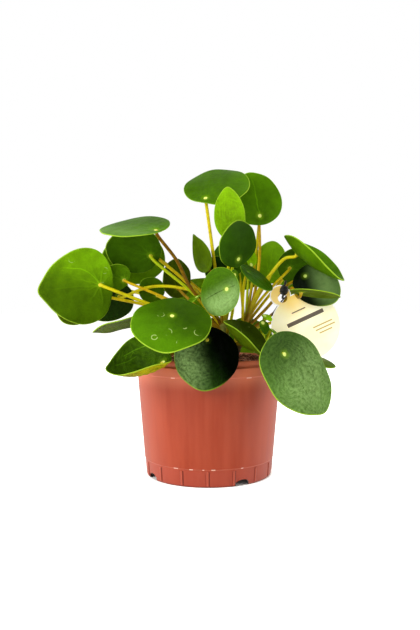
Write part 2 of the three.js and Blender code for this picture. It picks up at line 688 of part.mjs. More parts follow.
function tag() {
  const card = new THREE.Shape();
  const neckOnCard = Math.asin(TAG.neck / TAG.radius);
  const neckOnTab = Math.asin(TAG.neck / TAG.tabRadius);
  const quarter = Math.PI / 2;
  card.absarc(0, 0, TAG.radius, quarter + neckOnCard, quarter - neckOnCard + 2 * Math.PI, false);
  card.absarc(0, TAG.tabReach, TAG.tabRadius, -quarter + neckOnTab, 3 * quarter - neckOnTab, false);
  const hole = new THREE.Path();
  hole.absarc(0, TAG.holeReach, TAG.holeRadius, 0, 2 * Math.PI, true);
  card.holes.push(hole);
  const depth = TAG.thickness;
  const sheet = new THREE.ExtrudeGeometry(card, { depth, bevelEnabled: false, curveSegments: 16 });
  sheet.translate(0, 0, -depth / 2);
  sheet.applyMatrix4(tagFrame());
  return piece('tag', sheet, finishes.card);
}

// The elastic goes through the hole, over the tab's edge and round the leaf stalk behind it. It is
// made lying along X, with its lower end at the origin, and then turned into the tag's frame.
function tagElastic() {
  const { thickness, halfLength, halfWidth, back, lean, knot } = ELASTIC;
  const tube = 0.1; // in a ring of radius 1, before both are brought to size
  const ring = new THREE.TorusGeometry(1, tube, 6, 20);
  const place = ring.attributes.position;
  const thicker = thickness / 2 / tube;
  for (let i = 0; i < place.count; i += 1) {
    const turn = Math.atan2(place.getY(i), place.getX(i));
    const proud = (Math.hypot(place.getX(i), place.getY(i)) - 1) * thicker;
    const x = Math.cos(turn) * (halfLength + proud);
    const y = Math.sin(turn) * (halfWidth + proud);
    place.setXYZ(i, x, y, place.getZ(i) * thicker);
  }
  const wound = new THREE.SphereGeometry(1, 10, 8);
  wound.scale(...knot.size);
  wound.translate(knot.along, halfWidth + knot.proud, 0);
  const loop = geometryOf(solidOf(ring).add(solidOf(wound)));
  const alongToUp = new THREE.Matrix4().makeBasis(
    new THREE.Vector3(0, 1, 0), new THREE.Vector3(0, 0, 1), new THREE.Vector3(1, 0, 0));
  loop.translate(halfLength, -back, 0);
  loop.applyMatrix4(alongToUp);
  loop.rotateZ(THREE.MathUtils.degToRad(-lean));
  loop.translate(0, TAG.holeReach, 0);
  loop.applyMatrix4(tagFrame());
  return piece('tag_elastic', loop, finishes.elastic);
}

// ---------------------------------------------------------------- the plant

const plant = new THREE.Group();
plant.add(pot(), soil(), stemAndStalks(), offsetShoot());
for (const [name, leaf] of Object.entries({ ...LEAVES, ...SHOOT_LEAVES })) {
  plant.add(piece(name, blade(leaf), finishes.leaf));
}
plant.add(tag(), tagElastic());

export default plant;
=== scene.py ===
import math

import bmesh
import bpy
import numpy as np
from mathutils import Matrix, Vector
from mathutils.geometry import tessellate_polygon


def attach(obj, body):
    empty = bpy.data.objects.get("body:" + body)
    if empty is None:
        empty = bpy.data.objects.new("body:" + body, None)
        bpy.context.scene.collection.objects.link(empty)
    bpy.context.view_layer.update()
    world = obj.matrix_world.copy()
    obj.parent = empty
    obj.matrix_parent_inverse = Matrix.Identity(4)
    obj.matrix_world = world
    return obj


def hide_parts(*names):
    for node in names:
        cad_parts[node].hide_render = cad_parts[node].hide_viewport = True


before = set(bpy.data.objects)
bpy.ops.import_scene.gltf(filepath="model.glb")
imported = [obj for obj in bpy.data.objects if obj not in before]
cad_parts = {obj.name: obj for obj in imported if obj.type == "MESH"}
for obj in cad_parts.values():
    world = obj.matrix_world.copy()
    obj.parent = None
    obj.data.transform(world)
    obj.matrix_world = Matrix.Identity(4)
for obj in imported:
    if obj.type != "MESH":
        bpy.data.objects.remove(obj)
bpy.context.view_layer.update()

# ------------------------------------------------------------------------------------ camera
# The camera stands a little over half a metre in front of the plant, level with its crown and
# tilted down by less than a degree, so the pot's rim is seen edge on. Lengths here are millimetres.

MM = 0.001
PHOTO_HEIGHT = 630
FOCAL_PIXELS = 638
CAMERA_PLACE = (0.9, -550, 139)
CAMERA_TILT = 0.45

camera = bpy.data.objects.new("camera", bpy.data.cameras.new("camera"))
camera.data.sensor_width = 36
camera.data.lens = camera.data.sensor_width * FOCAL_PIXELS / PHOTO_HEIGHT
camera.data.clip_start = 0.01
camera.location = Vector(CAMERA_PLACE) * MM
camera.rotation_euler = (math.radians(90 - CAMERA_TILT), 0, 0)
bpy.context.scene.collection.objects.link(camera)
bpy.context.scene.camera = camera
bpy.context.scene.view_settings.view_transform = "Standard"


# ------------------------------------------------------------------------------------ studio
# A white sweep in a white room, lit by soft boxes: a large one high on the left, a narrow one low
# on the right, one overhead, one behind and a weak fill. The side that the camera stands on is
# dark, so glossy surfaces stay deep in colour where they face it and pale where they turn away.

class Shade:
    """One output of a material's nodes. Arithmetic on it adds Math nodes to that material."""

    def __init__(self, tree, socket=None):
        self.tree, self.socket = tree, socket

    def fill(self, node, inputs):
        for name, value in inputs.items():
            if isinstance(value, Shade):
                self.tree.links.new(value.socket, node.inputs[name])
            else:
                node.inputs[name].default_value = value

    def add(self, kind, settings=None, inputs=None, output=0):
        """Adds a node: its settings, then the values or links of its sockets, and one output."""
        node = self.tree.nodes.new("ShaderNode" + kind)
        for name, value in (settings or {}).items():
            if name == "stops":
                for place, tint in value[1:-1]:
                    node.color_ramp.elements.new(place)
                for stop, (place, tint) in zip(node.color_ramp.elements, value):
                    stop.position, stop.color = place, tint
            else:
                setattr(node, name, value)
        self.fill(node, inputs or {})
        return Shade(self.tree, node.outputs[output])

    def maths(self, operation, *others):
        return self.add("Math", {"operation": operation}, dict(enumerate((self, *others))))

    def __add__(self, other):
        return self.maths("ADD", other)

    def __sub__(self, other):
        return self.maths("SUBTRACT", other)

    def __rsub__(self, other):
        return self * -1 + other

    def __mul__(self, other):
        return self.maths("MULTIPLY", other)

    __radd__, __rmul__ = __add__, __mul__

    def step(self, low, high):
        """0 up to low and 1 from high on, with a smooth rise between; low may be the greater."""
        return self.add("MapRange", {"interpolation_type": "SMOOTHSTEP"},
                        {"Value": self, "From Min": low, "From Max": high})

    def band(self, rise, fall):
        """1 between a rise and a fall, each given by the two values that it lies between."""
        return self.step(*rise) * self.step(*fall)

    def parts(self):
        """The X, Y and Z of a vector."""
        split = self.add("SeparateXYZ", {}, {0: self}).socket.node
        return [Shade(self.tree, part) for part in split.outputs]

    def stored(self, name, output="Fac"):
        """What the piece's points hold under this name: a number, or as Vector three."""
        return self.add("Attribute", {"attribute_name": name}, output=output)

    def stretch(self, x, y, z):
        return self.add("VectorMath", {"operation": "MULTIPLY"}, {0: self, 1: (x, y, z)})

    def noise(self, scale, detail=2.0, roughness=0.5):
        return self.add("TexNoise", {}, {"Vector": self, "Scale": scale, "Detail": detail,
                                         "Roughness": roughness})

    def mix(self, below, above):
        """The colour below where this mask is 0, and the one above where it is 1."""
        return self.add("Mix", {"data_type": "RGBA"}, {0: self, 6: below, 7: above}, output=2)

    def times(self, colour, tint):
        """The colour multiplied by the tint, as far as this mask says."""
        return self.add("Mix", {"data_type": "RGBA", "blend_type": "MULTIPLY"},
                        {0: self, 6: colour, 7: tint}, output=2)

    def bump(self, strength, distance):
        """A surface direction that follows this height."""
        return self.add("Bump", {}, {"Height": self, "Strength": strength, "Distance": distance})

    def coat(self, inputs):
        """Gives the material's shader these values, or what varies over the surface."""
        self.fill(self.tree.nodes["Principled BSDF"], inputs)


def colour(red, green, blue):
    """A colour given from 0 to 255, as the linear values that a shader takes."""
    parts = [c / 255 for c in (red, green, blue)]
    return tuple(c / 12.92 if c < 0.04045 else ((c + 0.055) / 1.055) ** 2.4 for c in parts) + (1,)


def new_finish(name, sockets):
    """A material whose shader has these sockets set, and a Shade to add nodes to it."""
    material = bpy.data.materials.new(name)
    material.use_nodes = True
    shade = Shade(material.node_tree)
    shade.coat(sockets)
    return material, shade


SWEEP_SIZE = 40000
SWEEP_DROP = 0.1  # how far it lies below the pot's foot
SWEEP_GLOW = 1
SWEEP_BOUNCE = 0.33  # how much of its glow lights the plant from below
UNLIT = (51, 56)  # the sweep doesn't glow nearer the pot's axis than this, nor fully up to that
SKY = 0.2  # how strongly the white room lights the plant
SHEEN = 0.8  # and how bright it is in reflections, behind the plant and beside it
DARK_SIDE = (-0.55, 0.35)  # from in front to beside, where the reflected room turns white
SOFT_BOXES = {  # place, size, and power in watts
    "key": ((-900, -750, 650), (1000, 900), 18),
    "fill": ((250, -1500, 300), (1400, 1000), 3.2),
    "side": ((1000, -350, 260), (260, 700), 4.5),
    "overhead": ((0, -100, 1500), (900, 900), 5),
    "behind": ((-200, 1200, 600), (1000, 800), 6),
}
MIRRORED = ("key", "side")  # the boxes that show in what is glossy
AIM = Vector((0, 0, 130)) * MM

world = bpy.data.worlds.new("white_room")
world.use_nodes = True
bpy.context.scene.world = world
room = Shade(world.node_tree)
seen = room.add("LightPath", output="Is Camera Ray")
mirrored = room.add("LightPath", output="Is Glossy Ray")
_, away, _ = room.add("TexCoord", output="Generated").parts()
sheen = away.step(*DARK_SIDE) * SHEEN
room.fill(world.node_tree.nodes["Background"], {
    "Color": (1, 1, 1, 1), "Strength": seen + (1 - seen) * (mirrored * (sheen - SKY) + SKY)})

for name, (place, size, power) in SOFT_BOXES.items():
    lamp = bpy.data.lights.new(name, "AREA")
    lamp.shape = "RECTANGLE"
    lamp.size, lamp.size_y = size[0] * MM, size[1] * MM
    lamp.energy = power
    box = bpy.data.objects.new(name, lamp)
    box.location = Vector(place) * MM
    box.rotation_euler = (AIM - box.location).to_track_quat("-Z", "Y").to_euler()
    box.visible_glossy = name in MIRRORED
    bpy.context.scene.collection.objects.link(box)

sweep_mesh = bpy.data.meshes.new("sweep")
half = SWEEP_SIZE / 2 * MM
sweep_mesh.from_pydata([(-half, -half, 0), (half, -half, 0), (half, half, 0), (-half, half, 0)],
                       [], [(0, 1, 2, 3)])
sweep = bpy.data.objects.new("sweep", sweep_mesh)
sweep.location.z = -SWEEP_DROP * MM
bpy.context.scene.collection.objects.link(sweep)
sweep.visible_glossy = False
white, sweep_shade = new_finish("white_sweep", {
    "Base Color": colour(250, 249, 245), "Roughness": 0.9, "Specular IOR Level": 0,
    "Emission Strength": SWEEP_GLOW,
})
from_pot = sweep_shade.add("TexCoord", output="Object")
from_pot = sweep_shade.add("VectorMath", {"operation": "LENGTH"}, {0: from_pot}, output="Value")
sweep_seen = sweep_shade.add("LightPath", output="Is Camera Ray")
glow = (sweep_seen * (1 - SWEEP_BOUNCE) + SWEEP_BOUNCE) * from_pot.step(*[r * MM for r in UNLIT])
sweep_shade.coat({"Emission Color": glow.mix(colour(0, 0, 0), colour(255, 254, 250))})
sweep_mesh.materials.append(white)


# --------------------------------------------------------------------------------------- pot
# A nursery pot injection-moulded in thin terracotta-coloured polypropylene: a plain tapering wall
# with a collar and a rolled lip, and a foot band with short ribs and four drain notches.

POT_HEIGHT = 99
FOOT_RADIUS = 53.2
COLLAR_RADIUS = 61.6
COLLAR = (86, 94.3)  # from where to where it reaches
COLLAR_STEP = 0.5  # how far it stands out from the wall
LIP_RADIUS = 58.8
WALL = 1.6
BAND_HEIGHT = 14.5
BAND_DRAFT = 1  # how much wider the foot band is at its top
BAND_STEP = 0.7  # how far the wall stands out above it
FLOOR_TOP = 2
FLOOR_RECESS = 4  # how high the floor is raised in a ring between its centre and the foot
CENTRE_RADIUS = 40  # of the middle of the floor, which stands on the ground
RIBS = {"count": 16, "first": -1, "width": 2.4, "proud": 0.7, "foot": 1.2, "top": 12.9, "soft": 0.4}
NOTCHES = {"width": 12.8, "height": 5, "spring": 0.35, "headings": (-60, 30, 120, 210)}
POT_SIDES = 240
ROUNDING = 0.45  # radius of the moulded edges
FOOT_SCUFFS_AND_GLINTS = ((-28.5, 2), (-14.7, 1.5), (-4.5, 0.7), (3.7, 1.6), (28.8, 1))  # headings and half lengths of pale scuffs and painted highlights
COLLAR_SCUFFS_AND_GLINTS = ((-27.3, 1.6), (31, 2.1), (118, 2), (-152, 1.4))


def closed_skin(start, rings, end):
    """Points and faces of a closed surface: a first point, rings of points, and a last point."""
    count, sides = rings.shape[:2]
    points = np.vstack([[start], rings.reshape(-1, 3), [end]])
    last = 1 + (count - 1) * sides
    faces = []
    for j in range(sides):
        k = (j + 1) % sides
        faces.append((0, 1 + j, 1 + k))
        for i in range(count - 1):
            a, b = 1 + i * sides, 1 + (i + 1) * sides
            faces.append((a + j, b + j, b + k, a + k))
        faces.append((last + j, len(points) - 1, last + k))
    return points, faces


def new_piece(name, points, faces, material, crease=None):
    """A piece of the plant from points in millimetres, smooth but for edges sharper than crease."""
    mesh = bpy.data.meshes.new(name)
    mesh.from_pydata((np.asarray(points, float) * MM).tolist(), [], faces)
    edit = bmesh.new()
    edit.from_mesh(mesh)
    bmesh.ops.recalc_face_normals(edit, faces=edit.faces)
    edit.to_mesh(mesh)
    edit.free()
    mesh.shade_smooth()
    if crease:
        mesh.set_sharp_from_angle(angle=math.radians(crease))
    mesh.materials.append(material)
    piece = bpy.data.objects.new(name, mesh)
    bpy.context.scene.collection.objects.link(piece)
    return piece


def rounded(corners, radius, steps=3):
    """A profile whose corners are rounded, except its two ends."""
    profile = [corners[0]]
    for before, here, after in zip(corners, corners[1:], corners[2:]):
        here = np.array(here, float)
        arms = [np.array(p, float) - here for p in (before, after)]
        reach = min([radius] + [np.linalg.norm(arm) * 0.4 for arm in arms])
        first, last = [here + arm / np.linalg.norm(arm) * reach for arm in arms]
        for t in np.linspace(0, 1, steps + 1):
            profile.append(tuple((1 - t) ** 2 * first + 2 * t * (1 - t) * here + t * t * last))
    return profile + [corners[-1]]


def wall_radius(z):
    share = (z - BAND_HEIGHT) / (COLLAR[0] - BAND_HEIGHT)
    foot = FOOT_RADIUS + BAND_DRAFT + BAND_STEP
    return foot + (COLLAR_RADIUS - COLLAR_STEP - foot) * share


def rib_height(heading, z):
    """How far the foot band's ribs stand out, rounded across and with soft ends."""
    spacing = 2 * math.pi / RIBS["count"]
    turn = (heading - math.radians(RIBS["first"]) + spacing / 2) % spacing - spacing / 2
    across = np.clip(1 - (turn * FOOT_RADIUS / (RIBS["width"] / 2)) ** 2, 0, 1) ** 0.5
    from_ends = np.minimum(z - RIBS["foot"], RIBS["top"] - z)
    return RIBS["proud"] * across * np.clip(from_ends / RIBS["soft"], 0, 1)


lip_inside = LIP_RADIUS - WALL
collar_inside = wall_radius(COLLAR[0]) - WALL
foot_inside = FOOT_RADIUS - WALL
pot_corners = [
    # the floor's underside, and the ring that the pot stands on
    (0, 0.3),
    (CENTRE_RADIUS - 1, 0), (CENTRE_RADIUS, 0), (CENTRE_RADIUS + 1, FLOOR_RECESS),
    (foot_inside - 0.4, FLOOR_RECESS), (foot_inside - 0.4, 0), (FOOT_RADIUS - 0.4, 0),
    # up the foot band, and over its step to the wall
    (FOOT_RADIUS, 1.1),
    *[(FOOT_RADIUS + BAND_DRAFT * z / BAND_HEIGHT, z) for z in (1.6, 2.2, 4.5, 7, 10, 12.4, 13)],
    (FOOT_RADIUS + BAND_DRAFT, BAND_HEIGHT - BAND_STEP),
    *[(wall_radius(z), z) for z in (BAND_HEIGHT, 40, 65, COLLAR[0])],
    # the collar, and the rolled lip above it
    (COLLAR_RADIUS, COLLAR[0] + 0.7), (COLLAR_RADIUS, COLLAR[1] - 0.9),
    (LIP_RADIUS - 0.1, COLLAR[1] - 0.1), (LIP_RADIUS + 0.35, COLLAR[1] + 1.2),
    (LIP_RADIUS + 0.3, POT_HEIGHT - 1.4), (LIP_RADIUS - 0.2, POT_HEIGHT),
    # down the inside to the floor
    (lip_inside + 0.2, POT_HEIGHT), (lip_inside, POT_HEIGHT - 1), (lip_inside, COLLAR[1] - 2),
    (collar_inside, COLLAR[0] - 2), (foot_inside, FLOOR_RECESS + WALL),
    (CENTRE_RADIUS - 1, FLOOR_RECESS + WALL), (CENTRE_RADIUS - 2, FLOOR_TOP), (0, FLOOR_TOP),
]
pot_profile = np.array(rounded(pot_corners, ROUNDING))
rib_columns = np.arange(RIBS["count"]) * 2 * math.pi / RIBS["count"] + math.radians(RIBS["first"])
rib_steps = np.array([-1.02, -0.98, -0.85, -0.5, 0, 0.5, 0.85, 0.98, 1.02]) * RIBS["width"] / 2
headings = np.unique(np.round(np.concatenate([
    np.arange(POT_SIDES) * 2 * math.pi / POT_SIDES,
    (rib_columns[:, None] + rib_steps[None, :] / FOOT_RADIUS).ravel() % (2 * math.pi),
]), 5))
radius, height = [np.broadcast_to(column, (len(headings), len(pot_profile) - 2)).T
                  for column in pot_profile[1:-1].T]
turns = np.broadcast_to(headings, radius.shape)
on_band = (radius > FOOT_RADIUS - 0.5) & (height < BAND_HEIGHT)
radius = radius + np.where(on_band, rib_height(turns, height), 0)
pot_rings = np.stack([radius * np.sin(turns), -radius * np.cos(turns), height], axis=-1)


def drain_notch(heading):
    """The arch that is cut out of the foot, as a bar that runs outwards through the wall."""
    turn = math.radians(heading)
    outward = np.array([math.sin(turn), -math.cos(turn), 0])
    sideways = np.array([math.cos(turn), math.sin(turn), 0])
    half, top = NOTCHES["width"] / 2, NOTCHES["height"]
    spring = NOTCHES["spring"] * top
    arch = [(half * math.cos(t), spring + (top - spring) * math.sin(t))
            for t in np.linspace(0, math.pi, 13)]
    outline = [(half, -1)] + arch + [(-half, -1)]
    rings = np.array([[sideways * across + outward * reach + (0, 0, up) for across, up in outline]
                      for reach in (CENTRE_RADIUS + 4, FOOT_RADIUS + 6)])
    return closed_skin(rings[0].mean(0), rings, rings[1].mean(0))


terracotta, paint = new_finish("terracotta_plastic", {
    "Specular IOR Level": 0.55, "Subsurface Weight": 0.08, "Subsurface Radius": (0.9, 0.4, 0.2),
    "Subsurface Scale": 0.002, "Coat Roughness": 0.32,
})
place = paint.add("TexCoord", output="Object")
across_pot, into_pot, up_pot = place.parts()
height_on_pot = up_pot * (1 / MM)
heading_on_pot = across_pot.maths("ARCTAN2", into_pot * -1) * math.degrees(1)
flow = place.stretch(1, 1, 0.03).noise(190, 3)
broad_flow = place.stretch(1, 1, 0.05).noise(45, 2)
grime = place.noise(420, 4, 0.6)


def distance(x, y):
    return (x * x + y * y).maths("SQRT")


def scuffs_and_glints(places):
    """Pale scuffs and painted highlights on a moulded edge, from their headings on the pot and
    half lengths in degrees.
    """
    worn = 0
    for at, reach in places:
        worn = worn + (heading_on_pot - at).maths("ABSOLUTE").step(reach + 0.3, reach - 0.3)
    return worn


def layered(base, *layers):
    """A colour with others laid over it in turn, each as strongly as its mask says."""
    for mask, above in layers:
        base = mask.mix(base, above)
    return base


low, high = BAND_HEIGHT, COLLAR[0]
foot_edge = height_on_pot.band((low - 0.8, low - 0.4), (low + 0.3, low - 0.2))
collar_edge = height_on_pot.band((high - 0.5, high - 0.1), (high + 0.5, high + 0.1))
low, high, soft = RIBS["foot"], RIBS["top"], RIBS["soft"]
on_foot = height_on_pot.band((low - soft, low), (high - 0.1, high - soft))
turn = (heading_on_pot - RIBS["first"]) * (RIBS["count"] / 360) + 0.5
off_rib = (turn.maths("FRACT") - 0.5) * (2 * math.pi * FOOT_RADIUS / RIBS["count"])
shaded_right_of_rib = off_rib.band((0.8, 1.15), (1.8, 1.45)) * on_foot
shaded_left_of_rib = off_rib.band((-1.7, -1.4), (-0.8, -1.1)) * on_foot
lit_rib_face = off_rib.band((-0.9, -0.5), (0.8, 0.4)) * on_foot
off_axis = distance(across_pot, into_pot) * (1 / MM)
low, high = FOOT_RADIUS - 1.2, FOOT_RADIUS - 0.5
shaded_under_floor = off_axis.step(high, low) * height_on_pot.step(FLOOR_RECESS + 1.8, FLOOR_RECESS + 1.2)
edge_scuffs_and_glints = foot_edge * scuffs_and_glints(FOOT_SCUFFS_AND_GLINTS) + collar_edge * scuffs_and_glints(COLLAR_SCUFFS_AND_GLINTS) * 0.7
skin = layered(
    flow.step(0.3, 0.72).mix(colour(160, 55, 20), colour(168, 63, 28)),
    (broad_flow.step(0.4, 0.65) * 0.25, colour(182, 78, 48)),  # paler streaks in the plastic
    (grime.step(0.62, 0.8) * 0.12, colour(120, 48, 32)),  # specks of dirt
    (heading_on_pot.maths("ABSOLUTE").step(22, 78) * 0.35, colour(216, 122, 98)),  # painted sheen: lighter towards both sides
    (height_on_pot.step(74, 90) * 0.8, colour(222, 120, 86)),  # painted light: lighter up the collar
    (height_on_pot.step(BAND_HEIGHT, 13) * 0.35, colour(170, 72, 56)),  # the foot band
    (shaded_right_of_rib * 0.75 + shaded_left_of_rib * 0.4, colour(84, 22, 12)),  # painted shade in the hollows beside each rib, deeper on the right
    # painted light on the face of each rib
    (lit_rib_face * 0.2, colour(214, 112, 84)),
    (height_on_pot.step(1.2, 0.4) * 0.6, colour(92, 26, 16)),  # painted shade along the bottom of the foot
    # painted shade inside the recess under the floor
    (shaded_under_floor, colour(26, 8, 6)),
    # painted highlight along the step at the top of the foot band
    (foot_edge * 0.3, colour(222, 130, 104)),
    # pale scuffs and painted highlights along the moulded edges
    (edge_scuffs_and_glints, colour(255, 224, 206)))
paint.coat({
    "Base Color": skin, "Roughness": flow * 0.12 + grime * 0.1 + 0.33,
    "Normal": (flow * 0.16 + grime * 0.12).bump(0.35, 0.0004)})

pot = new_piece("nursery_pot", *closed_skin((0, 0, 0.3), pot_rings, (0, 0, FLOOR_TOP)), terracotta)
notch_points, notch_faces = [], []
for heading in NOTCHES["headings"]:
    points, faces = drain_notch(heading)
    notch_faces += [tuple(i + len(notch_points) for i in face) for face in faces]
    notch_points += list(points)
cutter = new_piece("notch_cutter", notch_points, notch_faces, terracotta)
cut = pot.modifiers.new("notches", "BOOLEAN")
cut.object, cut.solver = cutter, "EXACT"
notched = bpy.data.meshes.new_from_object(pot.evaluated_get(bpy.context.evaluated_depsgraph_get()))
pot.modifiers.clear()
pot.data = notched
bpy.data.objects.remove(cutter)
notched.shade_smooth()
notched.set_sharp_from_angle(angle=math.radians(50))
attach(pot, "root")
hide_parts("pot")


# -------------------------------------------------------------------------------------- soil
# Potting mix of peat and coconut fibre, filled to just under the lip: a crumbly surface with
# loose reddish-brown strands and flakes of bark lying in it.

SOIL_TOP = 91.5  # at the front, against the wall
SOIL_SLOPE = 4.5  # how much higher it is banked up against the back
SOIL_HEAP = 3.5  # and in the middle
SOIL_GAP = 0.3
SOIL_WAVES = ((0.8, 40, 9, 6, 3), (0.5, 7, 2.2, 14, 5))  # height, longest, shortest, count, seed
SOIL_RINGS = 46
SOIL_SIDES = 168
STRANDS = {"count": 1500, "length": (3, 12), "radius": (0.14, 0.34), "bend": 1.2, "arch": 1.4}
FLAKES = {"count": 420, "size": (0.7, 1.9), "unevenness": 0.18, "tilt": 0.35, "proud": 0.35}
LOOSE_GAP = 0.8  # how far the strands and flakes keep from where the soil meets the wall
SOIL_SEED = 11
TRUNK_FOOT = (20, 4)
SHOOT_FOOT = (44, -9)

soil_edge = lip_inside - SOIL_GAP
rng = np.random.default_rng(SOIL_SEED)


def waves(x, y, longest, shortest, count, seed):
    """A smooth irregular height between about -1 and 1, from sine waves with random directions."""
    draw = np.random.default_rng(seed)
    total = np.zeros_like(x, dtype=float)
    for length in np.geomspace(longest, shortest, count):
        turn, phase = draw.uniform(0, 2 * math.pi, 2)
        total += np.sin((x * math.cos(turn) + y * math.sin(turn)) * 2 * math.pi / length + phase)
    return total / math.sqrt(count) / 1.2


def soil_level(x, y):
    """The soil without its crumbs: banked up towards the back, and heaped in the middle."""
    out = np.clip(np.hypot(x, y) / soil_edge, 0, 1)
    back = (y / soil_edge + 1) / 2
    return SOIL_TOP + SOIL_SLOPE * back + SOIL_HEAP * (1 - out ** 4)


def soil_height(x, y):
    return soil_level(x, y) + sum(height * waves(x, y, *kind) for height, *kind in SOIL_WAVES)


def tube(path, radius, sides):
    """Points and faces of a closed tube along a path, with a radius for each of its points."""
    path = np.asarray(path, float)
    radii = np.broadcast_to(radius, len(path))
    along = np.gradient(path, axis=0)
    along /= np.linalg.norm(along, axis=1)[:, None]
    side = np.cross(along[0], (0.31, 0.17, 0.94))
    rings = []
    for centre, r, ahead in zip(path, radii, along):
        side = side - ahead * side.dot(ahead)
        side /= np.linalg.norm(side)
        other = np.cross(ahead, side)
        turn = np.arange(sides) * 2 * math.pi / sides
        rings.append(centre + r * (np.cos(turn)[:, None] * side + np.sin(turn)[:, None] * other))
    return closed_skin(path[0], np.array(rings), path[-1])


def gather(parts):
    """Many closed surfaces as one list of points and faces, and the number of points in each."""
    points, faces, counts = [], [], []
    for part_points, part_faces in parts:
        start = sum(counts)
        faces += [tuple(i + start for i in face) for face in part_faces]
        points.append(part_points)
        counts.append(len(part_points))
    return np.vstack(points), faces, counts


def set_attribute(piece, name, values):
    """Stores a number, or three, on each point of the piece for its material to read."""
    values = np.asarray(values, np.float32)
    kind, field = ("FLOAT", "value") if values.ndim == 1 else ("FLOAT_VECTOR", "vector")
    attribute = piece.data.attributes.new(name, kind, "POINT")
    attribute.data.foreach_set(field, values.ravel())


soil_turns = np.arange(SOIL_SIDES) * 2 * math.pi / SOIL_SIDES
top_rings = []
for share in np.linspace(1, 0.015, SOIL_RINGS):
    x, y = soil_edge * share * np.sin(soil_turns), -soil_edge * share * np.cos(soil_turns)
    top_rings.append(np.stack([x, y, soil_height(x, y)], axis=-1))
side_profile = [(CENTRE_RADIUS - 3, FLOOR_TOP + SOIL_GAP),
                (CENTRE_RADIUS - 2, FLOOR_RECESS + WALL + SOIL_GAP),
                (foot_inside - SOIL_GAP, FLOOR_RECESS + WALL + SOIL_GAP),
                (collar_inside - SOIL_GAP, COLLAR[0] - 3), (soil_edge, SOIL_TOP - 3)]
side_rings = [
    np.stack([r * np.sin(soil_turns), -r * np.cos(soil_turns), np.full(SOIL_SIDES, z)], axis=-1)
    for r, z in side_profile]
soil_points, soil_faces = closed_skin(
    (0, 0, FLOOR_TOP + SOIL_GAP), np.array(side_rings + top_rings), (0, 0, SOIL_TOP))

peat, mould = new_finish("peat_and_coir", {"Specular IOR Level": 0.3})
ground = mould.add("TexCoord", output="Object")
crumb = ground.noise(650, 5, 0.65)
clod = ground.noise(150, 3, 0.6)
earth = crumb.step(0.35, 0.7).mix(colour(62, 34, 10), colour(158, 98, 48))
earth = (clod.step(0.5, 0.75) * 0.5).mix(earth, colour(150, 88, 66))
mould.coat({
    "Base Color": earth, "Roughness": clod * 0.2 + 0.75, "Normal": crumb.bump(0.9, 0.0012)})
soil = new_piece("potting_mix", soil_points, soil_faces, peat)
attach(soil, "root")
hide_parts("soil")


def in_pot(places):
    """Draws points that would stand through the pot's wall back inside it."""
    reach = np.linalg.norm(places[:, :2], axis=1)
    limit = soil_edge - LOOSE_GAP
    shrink = np.where(reach > limit, limit / np.maximum(reach, 1e-6), 1)
    return np.column_stack([places[:, :2] * shrink[:, None], places[:, 2]])


def strand():
    """A bent strand of coconut fibre that lies on the soil."""
    reach, turn = soil_edge * rng.uniform(0, 1) ** 0.4, rng.uniform(0, 2 * math.pi)
    heading, length = rng.uniform(0, 2 * math.pi), rng.uniform(*STRANDS["length"])
    bend = rng.normal(0, STRANDS["bend"])
    t = np.linspace(-0.5, 0.5, 6)
    bearing = heading + bend * t
    x = reach * math.sin(turn) + length * t * np.cos(bearing)
    y = -reach * math.cos(turn) + length * t * np.sin(bearing)
    lift = rng.uniform(0, STRANDS["arch"]) * (1 - (2 * t) ** 2) + rng.uniform(-0.2, 0.5)
    places = in_pot(np.column_stack([x, y, np.zeros(6)]))
    places[:, 2] = soil_height(places[:, 0], places[:, 1]) + lift
    return tube(places, rng.uniform(*STRANDS["radius"]) * (1 - 0.5 * abs(2 * t)), 4)


def flake():
    """A flat crumb of bark with six corners, tilted a little."""
    reach, turn = soil_edge * rng.uniform(0, 1) ** 0.5 * 0.96, rng.uniform(0, 2 * math.pi)
    x, y = reach * math.sin(turn), -reach * math.cos(turn)
    size = rng.uniform(*FLAKES["size"])
    spin = rng.uniform(0, math.pi)
    outline = np.arange(6) * math.pi / 3 + rng.normal(0, FLAKES["unevenness"], 6) + spin
    stretch = rng.uniform(0.45, 1)
    flat = np.column_stack([size * np.cos(outline), size * stretch * np.sin(outline)])
    tilt = rng.normal(0, FLAKES["tilt"], 2)
    rings = np.array([
        np.column_stack([flat * share + (x, y), (flat * share) @ tilt + level])
        for share, level in ((0.8, -0.25), (1, 0), (0.75, 0.3))])
    rings[..., 2] += float(soil_height(np.array(x), np.array(y))) + FLAKES["proud"]
    rings = in_pot(rings.reshape(-1, 3)).reshape(rings.shape)
    return closed_skin(rings[0].mean(0), rings, rings[-1].mean(0))


loose = [strand() for _ in range(STRANDS["count"])] + [flake() for _ in range(FLAKES["count"])]
strand_points, strand_faces, strand_counts = gather(loose)

coir, fluff = new_finish("coir_and_bark", {"Specular IOR Level": 0.35, "Roughness": 0.7})
ripe = fluff.stored("ripe")
strand_grain = fluff.add("TexCoord", output="Object").noise(1400, 2)
strand_colour = fluff.add("ValToRGB", {"stops": [
    (0, colour(70, 38, 20)), (0.4, colour(146, 82, 54)), (0.75, colour(206, 136, 104)),
    (1, colour(240, 190, 160))]}, {"Fac": ripe})
strand_colour = (strand_grain.step(0.4, 0.7) * 0.4).times(strand_colour, colour(150, 120, 110))
fluff.coat({"Base Color": strand_colour})
strands = new_piece("coir_strands", strand_points, strand_faces, coir)
set_attribute(strands, "ripe", np.repeat(rng.uniform(0, 1, len(loose)) ** 1.5, strand_counts))
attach(strands, "root")


# -------------------------------------------------------------------------------------- stem
# A short succulent stem that forks just above the soil. It is corky and brown, ringed with the
# scars of fallen leaves, and turns green at its two crowns, where the leaf stalks leave it.

